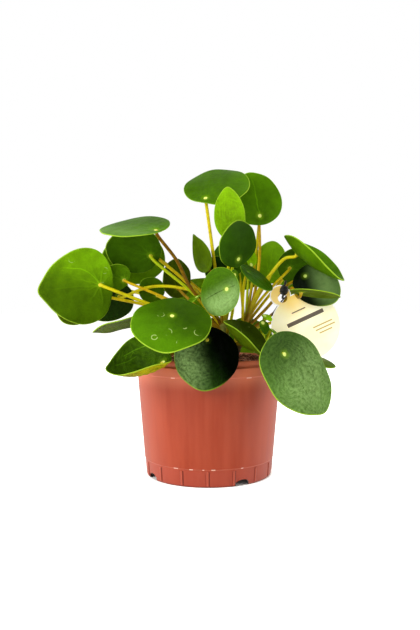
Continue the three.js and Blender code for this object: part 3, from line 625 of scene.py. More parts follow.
TRUNK = {"radius": 4.8, "foot": 68, "fork": 103, "taper": 0.06}
CROWN = {"left": (11.5, 1, 128), "right": (31.5, 1, 127)}
FORK = {"radius": 3.8, "taper": 0.12, "sunk": 8}  # sunk: how far down in the trunk it starts
STEM_TIP = (0.9, 0.7, 0.35)  # how much of it is left in its last three rings
STEM_STEPS = 60
SCAR_SPACING = 3.1
SCAR_SWELL = 0.09  # how much thicker the stem is between two scars


def ringed(foot, top, radius, taper):
    """A stem section whose surface swells between the rings of its leaf scars, and whose end is
    rounded off."""
    foot, top = np.array(foot, float), np.array(top, float)
    t = np.linspace(0, 1, STEM_STEPS)
    path = foot + (top - foot) * t[:, None]
    path[:, 0] += 0.35 * np.sin(path[:, 2] * 0.37)
    rings = np.abs(np.sin(path[:, 2] * math.pi / SCAR_SPACING + 0.4 * np.sin(path[:, 2])))
    radii = radius * (1 - taper * t) * (0.93 + SCAR_SWELL * rings ** 0.6)
    radii[-3:] *= STEM_TIP
    return tube(path, radii, 28)


fork_foot = (*TRUNK_FOOT, TRUNK["fork"] - FORK["sunk"])
trunk_foot, trunk_top = (*TRUNK_FOOT, TRUNK["foot"]), (*TRUNK_FOOT, TRUNK["fork"] + 1)
stem_parts = [ringed(trunk_foot, trunk_top, TRUNK["radius"], TRUNK["taper"])]
stem_parts += [ringed(fork_foot, crown, FORK["radius"], FORK["taper"])
               for crown in CROWN.values()]
stem_points, stem_faces, _ = gather(stem_parts)
corky, bark = new_finish("corky_stem", {"Roughness": 0.7, "Specular IOR Level": 0.35})
on_stem = bark.add("TexCoord", output="Object")
_, _, rise = on_stem.parts()
cork = on_stem.stretch(1, 1, 2.2).noise(420, 4, 0.6)
bark_colour = cork.step(0.35, 0.65).mix(colour(44, 28, 12), colour(96, 64, 28))
young_bark = cork.mix(colour(96, 104, 30), colour(126, 120, 40))
bark_colour = rise.step(0.1, 0.122).mix(bark_colour, young_bark)
bark.coat({"Base Color": bark_colour, "Normal": cork.bump(0.6, 0.0006)})
stem = new_piece("forked_stem", stem_points, stem_faces, corky)
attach(stem, "root")
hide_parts("stem_and_stalks")


# ------------------------------------------------------------------------------------ leaves
# Round, slightly fleshy blades, each joined to its stalk near the middle, where a pale dot shows
# through. They are smooth and waxy above, paler and veined below, and grow out in all directions.

PLAIN_LEAF = dict(
    side=0, dome=0, fold=0, ripple=0, wrinkle=0.12, taper=0.07, bend=0, point=0.035,
    tone=(1, 1, 0), bloom=(0, 0, 0), habit=(0, 0.15, 0), dot=1, pressed=())


def new_leaf(**own):
    return {**PLAIN_LEAF, **own}


# Each blade: its middle, the heading and lift of its upper face, the turn of its tip away from
# straight downhill, its length and width, and where its hub is: hub, how far it lies from the middle
# as a share of the length, and side, how far across as a share of the width. Dome sinks the edge,
# fold raises the sides, ripple waves the edge, wrinkle puckers the surface, taper narrows the blade
# towards its tip, bend bows it sideways, and point draws out the tip.
# Its stalk: the crown and height that it leaves from, the pull that bends it there or the places it
# goes by, how far it runs straight under the blade, and how ripe it is, from green to brown.
# Its skin: one of the greens. How light it is, partly painted light and shade, and how much painted
# sheen it has are each given on one side and on the other, with the heading from one to the other
# and where on the way the change lies. Habit is how crinkled it is, how pale its midrib and how many
# dried drops it has. Dot is how plainly the stalk's end shows through. Its lines of painted light and
# painted shade lie along creases, veins and the edge of a shadow, each with how much lighter the
# blade is there.
LEAVES = {
    "top_left": new_leaf(
        middle=(7, -6, 247.5), face=(-100, 48), spin=160, size=(56, 57), hub=0.395, dome=3, ripple=0.8,
        foot=("left", 126), pull=(-5, -6, 34), reach=16, ripe=0.55,
        green="fresh", tone=(0.5, 0.62, -50), dot=0.9),
    "top_right": new_leaf(
        middle=(41.5, 10, 237.3), face=(-82, 11), spin=-170, size=(49, 47), hub=0.33, dome=2.5,
        ripple=0.6,
        foot=("right", 126), pull=(20, 4, 50), reach=12, ripe=0.7,
        green="green", tone=(0.95, 0.78, 0), habit=(0, 0.7, 0)),
    "young_centre": new_leaf(
        middle=(16.7, -31, 216.3), face=(-105, -8), spin=-177, size=(41, 26), hub=0.42, dome=0.5,
        fold=1.5, point=0.1,
        foot=("left", 127), pull=(3, -2, 44), reach=8, ripe=0.4,
        green="young", tone=(0.66, 0.7, 90), habit=(0.8, 0.15, 0),
        pressed=[(0.2, [(13.1, 233.8), (12.6, 218.9)]),
                 (0.15, [(18, 228.8), (20.1, 214)]),
                 (0.15, [(9.1, 228.8), (8.6, 215.9)])]),
    "centre_dark": new_leaf(
        middle=(24.5, -41, 190.8), face=(-54, -18), spin=-167, size=(38, 37), hub=0.32, dome=2,
        ripple=0.5,
        foot=("left", 123), pull=(7, -14, 26), reach=12, ripe=0.3,
        green="deep", tone=(0.68, 0.56, 30), dot=0.7),
    "centre_front": new_leaf(
        middle=(7.2, -48, 153.3), face=(-128, 5), spin=-75, size=(38, 39), hub=0.21, dome=2, fold=1.5,
        foot=("left", 118), pull=(6, -16, 14), reach=12, ripe=0.4,
        green="green", tone=(0.62, 0.62, 90), bloom=(0, 0.75, -62, 0.5), habit=(0.8, 0, 0), dot=0.8,
        pressed=[(-0.6, [(14.3, 156.1), (6.3, 152.5), (-1.4, 148.2)]),
                 (-0.5, [(14.3, 156.1), (19.6, 157.8)])]),
    "front_big": new_leaf(
        middle=(-29, -66, 131), face=(-89, 49), spin=-9, size=(60, 62), hub=0.1, dome=3, ripple=0.8,
        foot=("left", 112), pull=(-8, -24, 8), reach=20, ripe=0.5,
        green="green", tone=(0.92, 0.42, 55), habit=(0, 0, 0.6)),
    "front_dark": new_leaf(
        middle=(-2, -64, 104), face=(-90, 22), spin=-2, size=(51, 50), hub=0.26, dome=4, ripple=0.6,
        wrinkle=0.3,
        foot=("left", 110), pull=(-2, -22, 12), reach=14, ripe=0.6,
        green="dark", tone=(0.8, 0.03, 28, 0.5), bloom=(0.8, 0, 10, 0.34), habit=(1.5, 0, 0), dot=0.2),
    "front_right": new_leaf(
        middle=(69, -72, 92.5), face=(-59, 16), spin=38, size=(70, 58.4), hub=0.26, dome=4, ripple=1.2,
        wrinkle=0.35, point=0.1,
        foot=("right", 110), via=[(46, -32, 107)], reach=12, ripe=0.5,
        green="blue", tone=(0.5, 0.85, -62, 0.36), bloom=(0.05, 0.6, -38, 0.42), habit=(1.5, 0, 0),
        dot=0.9,
        pressed=[(-0.25, [(62.5, 95), (71.2, 80.1), (76.5, 71)]),
                 (-0.3, [(68, 109), (74, 101), (78.5, 93), (80, 86)])]),
    "lower_left": new_leaf(
        middle=(-51.8, -57, 92), face=(-100, 60), spin=-65, size=(49, 46), hub=0.35, dome=-8, fold=10,
        wrinkle=0.4, taper=0.12, point=0.1,
        foot=("left", 108), via=[(-30, -42, 104.5), (-35, -49, 104)], reach=3, ripe=0.7,
        green="old", tone=(0.9, 1.5, 20), habit=(1.5, 0.3, 0.9),
        pressed=[(1.6, [(-65.9, 103.3), (-58, 107.6), (-50.5, 110.5)]),
                 (1, [(-71.9, 96.2), (-64, 98.4), (-57.6, 102.1)])]),
    "left_edge_on": new_leaf(
        middle=(-72, -30, 128.7), face=(148, 72), spin=39, size=(46, 46), hub=0.25, dome=1.5,
        ripple=0.5,
        foot=("left", 113), pull=(-30, -8, 4), reach=8, ripe=0.8,
        green="olive", tone=(0.85, 0.7, 0), habit=(1.6, 0, 0)),
    "left_big": new_leaf(
        middle=(-109, -22, 158.5), face=(118, 11), spin=84, size=(60, 63), hub=0.32, dome=2.5,
        ripple=0.8, taper=0.25, point=0.12,
        foot=("left", 118), pull=(-35, -6, 14), reach=12, ripe=0.5,
        green="fresh", tone=(0.5, 1.25, 78, 0.6), habit=(0, 0.2, 0.35),
        pressed=[(0.45, [(-91.6, 160.7), (-94.8, 165.7), (-99.5, 170), (-104.9, 172.8),
                         (-117.7, 173.3)])]),
    "left_behind": new_leaf(
        middle=(-112.5, -9, 147), face=(120, 11), spin=28, size=(42, 40), hub=0.2, dome=2.5, ripple=0.6,
        foot=("left", 119), pull=(-35, 10, 22), reach=6, ripe=0.6,
        green="olive", tone=(0.7, 0.9, 90)),
    "upper_left_under": new_leaf(
        middle=(-64.3, -4, 191.3), face=(97, 41), spin=110, size=(47, 47), hub=0.33, dome=2.5,
        ripple=0.6,
        foot=("left", 122), pull=(-16, -4, 30), reach=12, ripe=0.3,
        green="deep", tone=(1.0, 1.15, 90)),
    "upper_left_back": new_leaf(
        middle=(-66.6, 10, 185), face=(97, 37), spin=72, size=(56, 53), hub=0.33, dome=2.5, ripple=0.8,
        foot=("left", 122), pull=(-18, 9, 36), reach=6, ripe=0.6,
        green="fresh", tone=(0.85, 0.85, 0)),
    "upper_left_flat": new_leaf(
        middle=(-62, -20, 210.2), face=(-108, 65), spin=-100, size=(61, 52), hub=0.4, side=-0.12,
        dome=3, fold=2, ripple=0.2, taper=0.06, point=0.14,
        foot=("left", 124), via=[(-15.6, -5, 158), (-27, -14, 180.5)], reach=2, ripe=0.9,
        green="fresh", tone=(0.75, 0.55, 90), bloom=(0.3, 0, 80, 0.35)),
    "left_small": new_leaf(
        middle=(-79.4, -4, 167.8), face=(110, 22), spin=112, size=(24, 24), hub=0.3, dome=1,
        foot=("left", 120), pull=(-30, 0, 24), reach=8, ripe=0.7,
        green="green", tone=(0.85, 0.9, 90)),
    "left_dark": new_leaf(
        middle=(-91, 15, 149), face=(99, 36), spin=70, size=(49, 46), hub=0.25, dome=2.5, ripple=0.6,
        foot=("left", 120),
        via=[(-9.5, 3, 152.9), (-25.2, 4, 158.2), (-37.4, 5, 159.7), (-51.4, 5, 159), (-60.2, 5, 156.5)],
        reach=3, ripe=0.5,
        green="dark", tone=(0.95, 0.95, 0), habit=(0.8, 0, 0)),
    "small_dark": new_leaf(
        middle=(-51, 13, 157), face=(106, 12), spin=133, size=(24, 23), hub=0.3, dome=1,
        foot=("left", 119), pull=(-24, 6, 16), reach=6, ripe=0.6,
        green="green", tone=(0.6, 0.62, 0), dot=0.3),
    "left_centre_back": new_leaf(
        middle=(-30, 20, 167), face=(133, 2), spin=176, size=(35, 33), hub=0.26, dome=1.5, ripple=0.5,
        foot=("left", 121), pull=(-20, 8, 14), reach=4, ripe=0.8,
        green="olive", tone=(0.65, 0.7, 0), dot=0.3),
    "centre_left_pointed": new_leaf(
        middle=(-6.6, -6, 187.2), face=(-125, 8), spin=-152, size=(35, 17), hub=0.36, dome=0.5,
        fold=1.5, taper=0.34, bend=-1.5, point=0.2,
        foot=("left", 125), pull=(-6, 0, 26), reach=6, ripe=0.9,
        green="olive", tone=(0.75, 0.8, 90), dot=0),
    "behind_centre": new_leaf(
        middle=(17, 13, 184), face=(-100, 0), spin=180, size=(32, 30), hub=0.3, dome=1.5,
        foot=("left", 125), pull=(6, 22, 22), reach=6, ripe=0.5,
        green="deep"),
    "dark_under": new_leaf(
        middle=(9, 4, 173), face=(-74, -10), spin=-132, size=(27, 26), hub=0.3, dome=1,
        foot=("left", 124), pull=(2, 12, 18), reach=5, ripe=0.5,
        green="dark"),
    "young_bright": new_leaf(
        middle=(37, 10, 185), face=(-60, 20), spin=170, size=(17, 11), hub=0.4, fold=1.2,
        foot=("right", 127), pull=(2, 4, 24), reach=4, ripe=0.3,
        green="young"),
    "right_back": new_leaf(
        middle=(55, 28, 182), face=(119, 4), spin=-174, size=(38, 36), hub=0.31, dome=1.5, ripple=0.5,
        foot=("right", 124), pull=(8, 4, 24), reach=6, ripe=0.5,
        green="fresh", tone=(1.2, 1.3, 90)),
    "right_low_edge": new_leaf(
        middle=(41.5, -13, 167.5), face=(-35, 45), spin=55, size=(34, 32), hub=0.29, dome=1.5,
        foot=("right", 122), pull=(0, -4, 20), reach=8, ripe=0.5,
        green="deep", dot=0.15),
    "centre_low": new_leaf(
        middle=(22, -29, 162), face=(-33, -2), spin=3, size=(20, 17), hub=0.27, dome=1,
        foot=("left", 124), pull=(2, -6, 24), reach=4, ripe=0.4,
        green="deep"),
    "right_mid": new_leaf(
        middle=(78, 18, 179), face=(94, 23), spin=-110, size=(35, 34), hub=0.2, dome=1.5,
        foot=("right", 125), pull=(14, 4, 30), reach=8, ripe=0.6,
        green="deep", tone=(1.1, 1.1, 0), dot=0.7),
    "right_top": new_leaf(
        middle=(84.5, -12, 178.3), face=(-23, 53), spin=-12, size=(65, 45), hub=0.22, dome=-6, fold=7,
        foot=("right", 124), via=[(42.6, 3, 154.9), (54.2, 3, 171), (65.5, 0, 183.4)], reach=2,
        ripe=0.5,
        green="green", tone=(0.85, 0.95, 90)),
    "right_low": new_leaf(
        middle=(92.4, -2, 161), face=(-104, 21), spin=50, size=(44, 36.5), hub=0.3, dome=2, ripple=0.5,
        foot=("right", 118), via=[(50, 9.5, 140), (66, 8.3, 158.5), (74, 10.5, 164)], reach=3, ripe=0.8,
        green="dark", tone=(0.16, 1.2, 20), bloom=(0, 0.6, 10), habit=(0.2, 0, 0), dot=0.5),
    "right_edge_on": new_leaf(
        middle=(88, -21, 153.8), face=(64, 75), spin=-60, size=(42, 22), hub=0.28, dome=0.8,
        foot=("right", 116), via=[(60, 9.8, 139), (70, 9.8, 152), (71.9, 4.4, 158.2), (75.6, -7, 150)],
        reach=2, ripe=0.8,
        green="olive", tone=(0.9, 0.9, 0)),
    "front_fold": new_leaf(
        middle=(26.5, -50, 113.2), face=(-27, 50), spin=10, size=(44, 37), hub=0.13, dome=-5, fold=7,
        wrinkle=0.3,
        foot=("right", 112), pull=(0, -18, 4), reach=6, ripe=0.6,
        green="olive", tone=(0.5, 0.2, 50), habit=(0.4, 0, 0.4), dot=0.7),
    "behind_front_right": new_leaf(
        middle=(89.5, -36, 99.5), face=(-42, 67), spin=50, size=(28, 25), hub=0.28, dome=1.5,
        foot=("right", 108), pull=(26, 6, 8), reach=6, ripe=0.5,
        green="olive"),
    "left_sliver": new_leaf(
        middle=(-13, -15, 148), face=(-150, 60), spin=20, size=(17, 12), hub=0.3, fold=1,
        foot=("left", 121), pull=(-8, 0, 10), reach=3, ripe=0.6,
        green="green"),
    "back_top": new_leaf(
        middle=(42, 30, 238), face=(80, 30), spin=160, size=(40, 39), hub=0.3, dome=2,
        foot=("right", 127), pull=(10, 10, 50), reach=10, ripe=0.5,
        green="fresh"),
    "back_upper_left": new_leaf(
        middle=(-70, 40, 192), face=(115, 35), spin=20, size=(44, 43), hub=0.25, dome=2.5, ripple=0.6,
        foot=("left", 123), pull=(4, 50, 26), reach=10, ripe=0.6,
        green="green"),
    "back_left": new_leaf(
        middle=(-99, 49, 153), face=(140, 30), spin=10, size=(50, 48), hub=0.25, dome=3, ripple=0.8,
        foot=("left", 118), pull=(-26, 18, 30), reach=12, ripe=0.5,
        green="green"),
    "back_centre": new_leaf(
        middle=(30, 44, 180), face=(85, 25), spin=-20, size=(46, 45), hub=0.25, dome=2.5, ripple=0.6,
        foot=("right", 124), pull=(0, 14, 36), reach=10, ripe=0.5,
        green="green"),
    "back_upper_right": new_leaf(
        middle=(80, 50, 172), face=(60, 35), spin=10, size=(42, 41), hub=0.25, dome=2.5,
        foot=("right", 121), pull=(20, 22, 26), reach=10, ripe=0.6,
        green="fresh"),
    "back_right": new_leaf(
        middle=(90, 46, 124), face=(45, 30), spin=-10, size=(52, 51), hub=0.22, dome=3, ripple=0.8,
        foot=("right", 112), pull=(24, 18, 22), reach=14, ripe=0.6,
        green="green"),
    "back_left_low": new_leaf(
        middle=(-44, 66, 116), face=(115, 35), spin=15, size=(52, 52), hub=0.2, dome=3, ripple=0.8,
        foot=("left", 111), pull=(-16, 24, 20), reach=14, ripe=0.5,
        green="green"),
    "back_low": new_leaf(
        middle=(4, 72, 112), face=(88, 28), spin=-15, size=(48, 48), hub=0.25, dome=3,
        foot=("left", 109), pull=(2, 26, 18), reach=14, ripe=0.5,
        green="deep"),
    "back_right_low": new_leaf(
        middle=(41, 58, 112), face=(65, 30), spin=10, size=(50, 49), hub=0.22, dome=3, ripple=0.6,
        foot=("right", 109), pull=(8, 24, 20), reach=14, ripe=0.5,
        green="green"),
    "back_middle": new_leaf(
        middle=(-8, 58, 152), face=(100, 40), spin=5, size=(50, 50), hub=0.22, dome=3, ripple=0.8,
        foot=("left", 116), pull=(-6, 16, 34), reach=14, ripe=0.5,
        green="fresh"),
}

BLADE_THICKNESS = 1
BLADE_MIDDLE = -0.6  # the middle of its thickness, measured from the leaf's own surface
RIM_ROUNDING = 0.9
TIP_REACH = 0.35  # how far round the edge a drawn-out tip reaches, in radians
BLADE_RINGS = 24
WRINKLES = (16, 4.5, 7)  # the longest and shortest wave of the puckered surface, and how many
MAIN_VEINS = 9
VEIN_WIDTH = 0.8
VEIN_WAVER = (0.35, 9)  # how far it turns to and fro, in radians, and over what length
VEIN_REACH = 0.5  # of the blade's length, by which it has sunk away
VEIN_GROOVE = 0.16  # depth above
VEIN_RIDGE = 0.28  # height below
HUB_HOLLOW = {"depth": 0.5, "reach": 1.9}  # above the stalk's end
HUB_RING = {"height": 0.2, "radius": 4, "reach": 2}
HUB_BOSS = {"height": 0.9, "reach": 2.6}  # below, where the stalk joins


def direction(heading, lift):
    turn, rise = math.radians(heading), math.radians(lift)
    return np.array([math.cos(rise) * math.cos(turn), math.cos(rise) * math.sin(turn), math.sin(rise)])


def blade_axes(leaf):
    """The blade's own directions: across it, to its tip, and out of its upper face."""
    up = direction(*leaf["face"])
    downhill = up * up[2] - (0, 0, 1)
    downhill /= np.linalg.norm(downhill)
    spin = math.radians(leaf["spin"])
    tip = downhill * math.cos(spin) + np.cross(up, downhill) * math.sin(spin)
    return np.array([np.cross(tip, up), tip, up])


def in_place(leaf, x, y, z):
    """Points of the blade's own frame, in the plant's frame."""
    return np.stack([x, y, z], axis=-1) @ blade_axes(leaf) + leaf["middle"]


def blade_height(leaf, x, y):
    u, v = x / (leaf["size"][1] / 2), y / (leaf["size"][0] / 2)
    out = u * u + v * v
    wave = np.sin(5 * np.arctan2(u, v) + leaf["middle"][0] * 0.7)
    return leaf["fold"] * u * u - leaf["dome"] * out + leaf["ripple"] * out * out * wave


def hump(away, reach):
    return np.exp(-(away / reach) ** 2)


def blade_edge(leaf, turn, seed):
    """A round outline, a little broader towards its base, with a blunt tip and slight lobes."""
    length, width = leaf["size"]
    from_tip = np.arctan2(np.sin(turn), np.cos(turn))
    lobes = 1 + 0.008 * np.sin(3 * turn + seed) + 0.004 * np.sin(8 * turn + 2 * seed)
    x = width / 2 * np.sin(turn) * (1 - leaf["taper"] * np.cos(turn)) * lobes
    y = length / 2 * (np.cos(turn) * lobes + leaf["point"] * hump(from_tip, TIP_REACH))
    return x + leaf["bend"] * np.cos(turn) ** 2, y


def hub_place(leaf):
    return leaf["side"] * leaf["size"][1], -leaf["hub"] * leaf["size"][0]


def blade(leaf, seed):
    """The blade's points and faces, and for each point its place from the hub, its share of the
    way to the rim, and whether it is on the upper face."""
    length = leaf["size"][0]
    hub_x, hub_y = hub_place(leaf)
    sides = int(60 + 1.7 * length)
    edge_x, edge_y = blade_edge(leaf, np.arange(sides) * 2 * math.pi / sides, seed)
    to_edge = np.hypot(edge_x - hub_x, edge_y - hub_y)
    inset = RIM_ROUNDING / to_edge
    inner = [(share, 1) for share in np.linspace(0, 1, BLADE_RINGS + 1)[1:] ** 1.25]
    rim = [(None, math.radians(angle)) for angle in (25, 50, 72)]
    levels = [(1, s, a) for s, a in inner] + [(1, s, a) for s, a in rim] + [(0, None, math.pi / 2)]
    levels += [(-1, s, a) for s, a in reversed(rim)] + [(-1, s, a) for s, a in reversed(inner)]
    rings, flats, spreads, uppers = [], [], [], []
    for side, share, angle in levels:
        if share is None:
            s, half = 1 - inset * (1 - math.sin(angle)), BLADE_THICKNESS / 2 * math.cos(angle)
        else:
            s, half = share * (1 - inset), BLADE_THICKNESS / 2
        x, y = hub_x + (edge_x - hub_x) * s, hub_y + (edge_y - hub_y) * s
        out = np.hypot(x - hub_x, y - hub_y)
        bearing = np.arctan2(x - hub_x, y - hub_y) + VEIN_WAVER[0] * np.sin(out / VEIN_WAVER[1] + seed)
        off_vein = np.abs(np.sin(bearing * MAIN_VEINS / 2)) * out * 2 / MAIN_VEINS
        vein = hump(off_vein, VEIN_WIDTH) * np.exp(-out / (VEIN_REACH * length))
        relief = leaf["wrinkle"] * waves(x, y, *WRINKLES, seed) * (1 - s ** 6)
        if side > 0:
            relief -= HUB_HOLLOW["depth"] * hump(out, HUB_HOLLOW["reach"]) + VEIN_GROOVE * vein
            relief += HUB_RING["height"] * hump(out - HUB_RING["radius"], HUB_RING["reach"])
        else:
            relief -= HUB_BOSS["height"] * hump(out, HUB_BOSS["reach"])
            relief -= VEIN_RIDGE * vein * (1 - s ** 6)
        z = blade_height(leaf, x, y) + BLADE_MIDDLE + side * half + relief * (half > 0.3)
        rings.append(in_place(leaf, x, y, z))
        flats.append(np.column_stack([(x - hub_x) * MM, (y - hub_y) * MM, np.full(sides, seed * 0.1)]))
        spreads.append(s * np.ones(sides))
        uppers.append(np.full(sides, (side + 1) / 2))
    hub_height = blade_height(leaf, hub_x, hub_y) + BLADE_MIDDLE
    ends = [in_place(leaf, hub_x, hub_y, hub_height + BLADE_THICKNESS / 2 - HUB_HOLLOW["depth"]),
            in_place(leaf, hub_x, hub_y, hub_height - BLADE_THICKNESS / 2 - HUB_BOSS["height"])]
    points, faces = closed_skin(ends[0], np.array(rings), ends[1])
    hub_flat = [(0, 0, seed * 0.1)]
    flat = np.vstack([hub_flat, np.concatenate(flats), hub_flat])
    spread = np.concatenate([[0], *spreads, [0]])
    upper = np.concatenate([[1], *uppers, [0]])
    return points, faces, flat, spread, upper


GREENS = {  # upper face, lower face, and how mottled the surface is
    "fresh": (colour(86, 136, 6), colour(104, 150, 6), 0.3),
    "green": (colour(78, 124, 6), colour(86, 130, 6), 0.35),
    "young": (colour(132, 184, 6), colour(136, 188, 8), 0.25),
    # the deep and dark greens are partly the leaves' own colour and partly painted shade, for leaves
    # that lie in the shade of others
    "deep": (colour(52, 92, 4), colour(56, 92, 4), 0.35),
    "dark": (colour(28, 58, 6), colour(30, 56, 5), 0.4),
    "blue": (colour(84, 124, 44), colour(134, 150, 20), 0.5),
    "olive": (colour(84, 112, 6), colour(92, 118, 8), 0.4),
    "old": (colour(54, 84, 6), colour(150, 146, 8), 0.8),
}


def leaf_skin(name, upper_colour, lower_colour, mottle):
    """The skin of a blade. What its points hold says how light it is, with painted light and shade,
    how much painted sheen it has, and how creased it is.
    """
    material, wax = new_finish(name, {
        "Specular IOR Level": 0.03, "Subsurface Weight": 0.1,
        "Subsurface Radius": (0.6, 1.0, 0.25), "Subsurface Scale": 0.0014,
    })
    flat = wax.stored("flat", "Vector")
    spread, tone, bloom, dot = [wax.stored(kind) for kind in ("spread", "tone", "bloom", "dot")]
    above = wax.stored("upper").step(0.3, 0.7)
    crinkle, midrib, marks = wax.stored("habit", "Vector").parts()
    off_line, lighter, _ = wax.stored("pressed", "Vector").parts()
    across, along, _ = flat.parts()
    out = distance(across, along)
    cloud = flat.noise(45, 3)
    warp = flat.noise(60, 2)
    patches = flat.noise(130, 3)
    grain = flat.noise(600, 2)
    pores = flat.noise(1700, 2)

    # veins that fan out from the hub, the midrib, the net between them, and the lines of painted light
    # and shade
    spoke = (across.maths("ARCTAN2", along) + warp * 0.9) * (MAIN_VEINS / 2)
    off_spoke = spoke.maths("SINE").maths("ABSOLUTE") * out * (2 / MAIN_VEINS)
    veins = off_spoke.step(0.0007, 0.0001) * spread.step(0.7, 0.05)
    off_rib = (across + (warp - 0.5) * 0.006).maths("ABSOLUTE")
    rib = off_rib.step(0.0008, 0.0001) * along.step(0, 0.002) * spread.step(0.95, 0.6)
    cells = wax.add("TexVoronoi", {"feature": "DISTANCE_TO_EDGE"}, {"Vector": flat, "Scale": 300})
    net = cells.step(0.12, 0.02)
    lines = off_line.maths("ABSOLUTE").step(0.0006, 0.0001) * lighter

    # crinkles: soft folds that wind around the hub, creased in places, and quilted between
    folds = (spread * 34 + flat.noise(42, 2, 0.55) * 46).maths("SINE")
    creases = folds.step(0.55, 1) * patches.step(0.42, 0.56)
    quilting = flat.noise(420, 4, 0.75).step(0.3, 0.7) - 0.5

    # the rings that a few water drops left when they dried
    away, pick = [wax.add("TexVoronoi", {"feature": "F1"}, {"Vector": flat, "Scale": 95}, output=i)
                  for i in range(2)]
    few, _, _ = pick.parts()
    drops = away.band((0.27, 0.29), (0.34, 0.31)) * patches.step(0.47, 0.53)
    drops = drops * few.step(0.7, 0.71) * spread.step(0.9, 0.8)

    # how light the skin is: its grain, net, veins, midrib and patches, with painted shade in the creases
    # and painted light and shade over the folds and quilting
    light = (grain - 0.5) * 0.25 + net * 0.06 + veins * (0.32 - above * 0.22) + rib * midrib
    light = light + crinkle * (quilting * 0.3 + folds * 0.1 - creases * 0.22) + lines
    light = light + (patches - 0.5) * 0.7 + spread.step(0.5, 1) * above * 0.2 + 0.95
    # where the painted sheen shows: broken up by the crinkles and patches, and fainter at the rim
    sheen_pattern = crinkle * (quilting * 0.6 + folds * 0.16 - creases * 0.3) + patches * 0.5 + 0.7
    sheen_pattern = sheen_pattern * (spread.step(0.6, 1) * -0.5 + 1) + lines
    hub_colour = dot.mix(colour(96, 150, 16), colour(236, 246, 130))
    body = above.mix(lower_colour, upper_colour)
    body = (cloud.step(0.35, 0.7) * mottle).times(body, colour(185, 190, 160))
    # painted light and shade across the blade scale its colour
    body = wax.add("VectorMath", {"operation": "SCALE"}, {0: body, "Scale": light * tone})
    body = layered(
        body,
        # painted sheen
        (bloom * sheen_pattern, colour(142, 176, 102)),
        (drops * marks, colour(196, 218, 130)),
        (out.step(0.005, 0.0015) * dot * 0.3, colour(140, 182, 20)),  # a glow around the hub
        (out.step(0.0019, 0.0012) * dot.step(0, 0.4), hub_colour),
        (spread.step(0.976, 0.99) * tone.step(0, 0.6) * (dot * 0.5 + 0.3), colour(160, 196, 50)))
    relief = (folds * 0.4 + quilting - creases) * crinkle + net * 0.2 + pores * 0.3 + cloud
    wax.coat({
        "Base Color": body, "Roughness": cloud * 0.2 + pores * 0.12 + above * -0.1 + 0.33,
        "Normal": relief.bump(0.35, 0.0006)})
    return material


greens = {name: leaf_skin("leaf_" + name, *tones) for name, tones in GREENS.items()}


def across_blade(points, first, last, heading, middle=0.5):
    """A value for each point that goes from one to another across the blade, as the heading says:
    0 is to the right and 90 upwards, seen from the front."""
    turn = math.radians(heading)
    along = points @ (math.cos(turn), 0, math.sin(turn))
    share = np.clip(((along - along.min()) / np.ptp(along) - middle) * 2 + 0.5, 0, 1)
    return first + (last - first) * share * share * (3 - 2 * share)


LINE_FADE = 1.5  # how far past its ends a line of painted light and shade fades out


def light_and_shade_line_places(points, lines):
    """For each point, its signed distance from the nearest line of painted light and shade on the blade,
    and how much lighter the blade is there. The lines are given by X and Z, as seen from the front."""
    nearest = np.full(len(points), np.inf)
    found = np.zeros((len(points), 3))
    for lighter, corners in lines:
        corners = np.array(corners, float)
        for start, end in zip(corners, corners[1:]):
            run, arm = end - start, points[:, [0, 2]] - start
            length = np.linalg.norm(run)
            along = arm @ run / length
            aside = (run[0] * arm[:, 1] - run[1] * arm[:, 0]) / length
            beyond = np.clip(np.maximum(-along, along - length), 0, None)
            away = np.hypot(aside, beyond)
            closer = away < nearest
            nearest[closer] = away[closer]
            found[closer, 0] = aside[closer] * MM
            found[closer, 1] = (lighter * np.clip(1 - beyond / LINE_FADE, 0, 1))[closer]
    return found


def add_blade(name, leaf, seed):
    points, faces, flat, spread, upper = blade(leaf, seed)
    count = len(points)
    piece = new_piece(name + "_blade", points, faces, greens[leaf["green"]])
    set_attribute(piece, "flat", flat)
    set_attribute(piece, "spread", spread)
    set_attribute(piece, "upper", upper)
    # painted light and shade, and painted sheen, each graded across the blade
    set_attribute(piece, "tone", across_blade(points, *leaf["tone"]))
    set_attribute(piece, "bloom", across_blade(points, *leaf["bloom"]))
    set_attribute(piece, "habit", np.tile(leaf["habit"], (count, 1)))
    set_attribute(piece, "dot", np.full(count, float(leaf["dot"])))
    set_attribute(piece, "pressed", light_and_shade_line_places(points, leaf["pressed"]))
    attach(piece, "root")
    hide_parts("leaf_" + name)


for seed, (name, leaf) in enumerate(LEAVES.items()):
    add_blade(name, leaf, seed)


# ------------------------------------------------------------------------------- leaf stalks
# Long smooth fleshy stalks, one to a leaf, that arch out from the crowns. They are yellow-green to
# brown, redder at the foot, where painted shade deep in the crown also darkens them, and swell a
# little where they enter the hub of the blade.

STALK_SIDES = 14
STALK_STEPS = 36
STALK_RADIUS = 1.05
STALK_GAIN = 0.008  # how much thicker it is for each millimetre of its blade's length
STALK_TAPER = 0.1
STALK_DEPTH = 1.5  # how far below the leaf's own surface its curve ends
STALK_PLUG = 0.7  # and how far it goes on into the blade
FOOT_SWELL = (0.45, 0.06)  # how much thicker at the foot, and along what share of the stalk
HUB_SWELL = (0.4, 0.035)


def bezier(points, t):
    a, b, c, d = [np.asarray(p, float) for p in points]
    t = t[:, None]
    return (1 - t) ** 3 * a + 3 * t * (1 - t) ** 2 * b + 3 * t * t * (1 - t) * c + t ** 3 * d


def between(first, second, low, high, at):
    return ((high - at) * first + (at - low) * second) / (high - low)


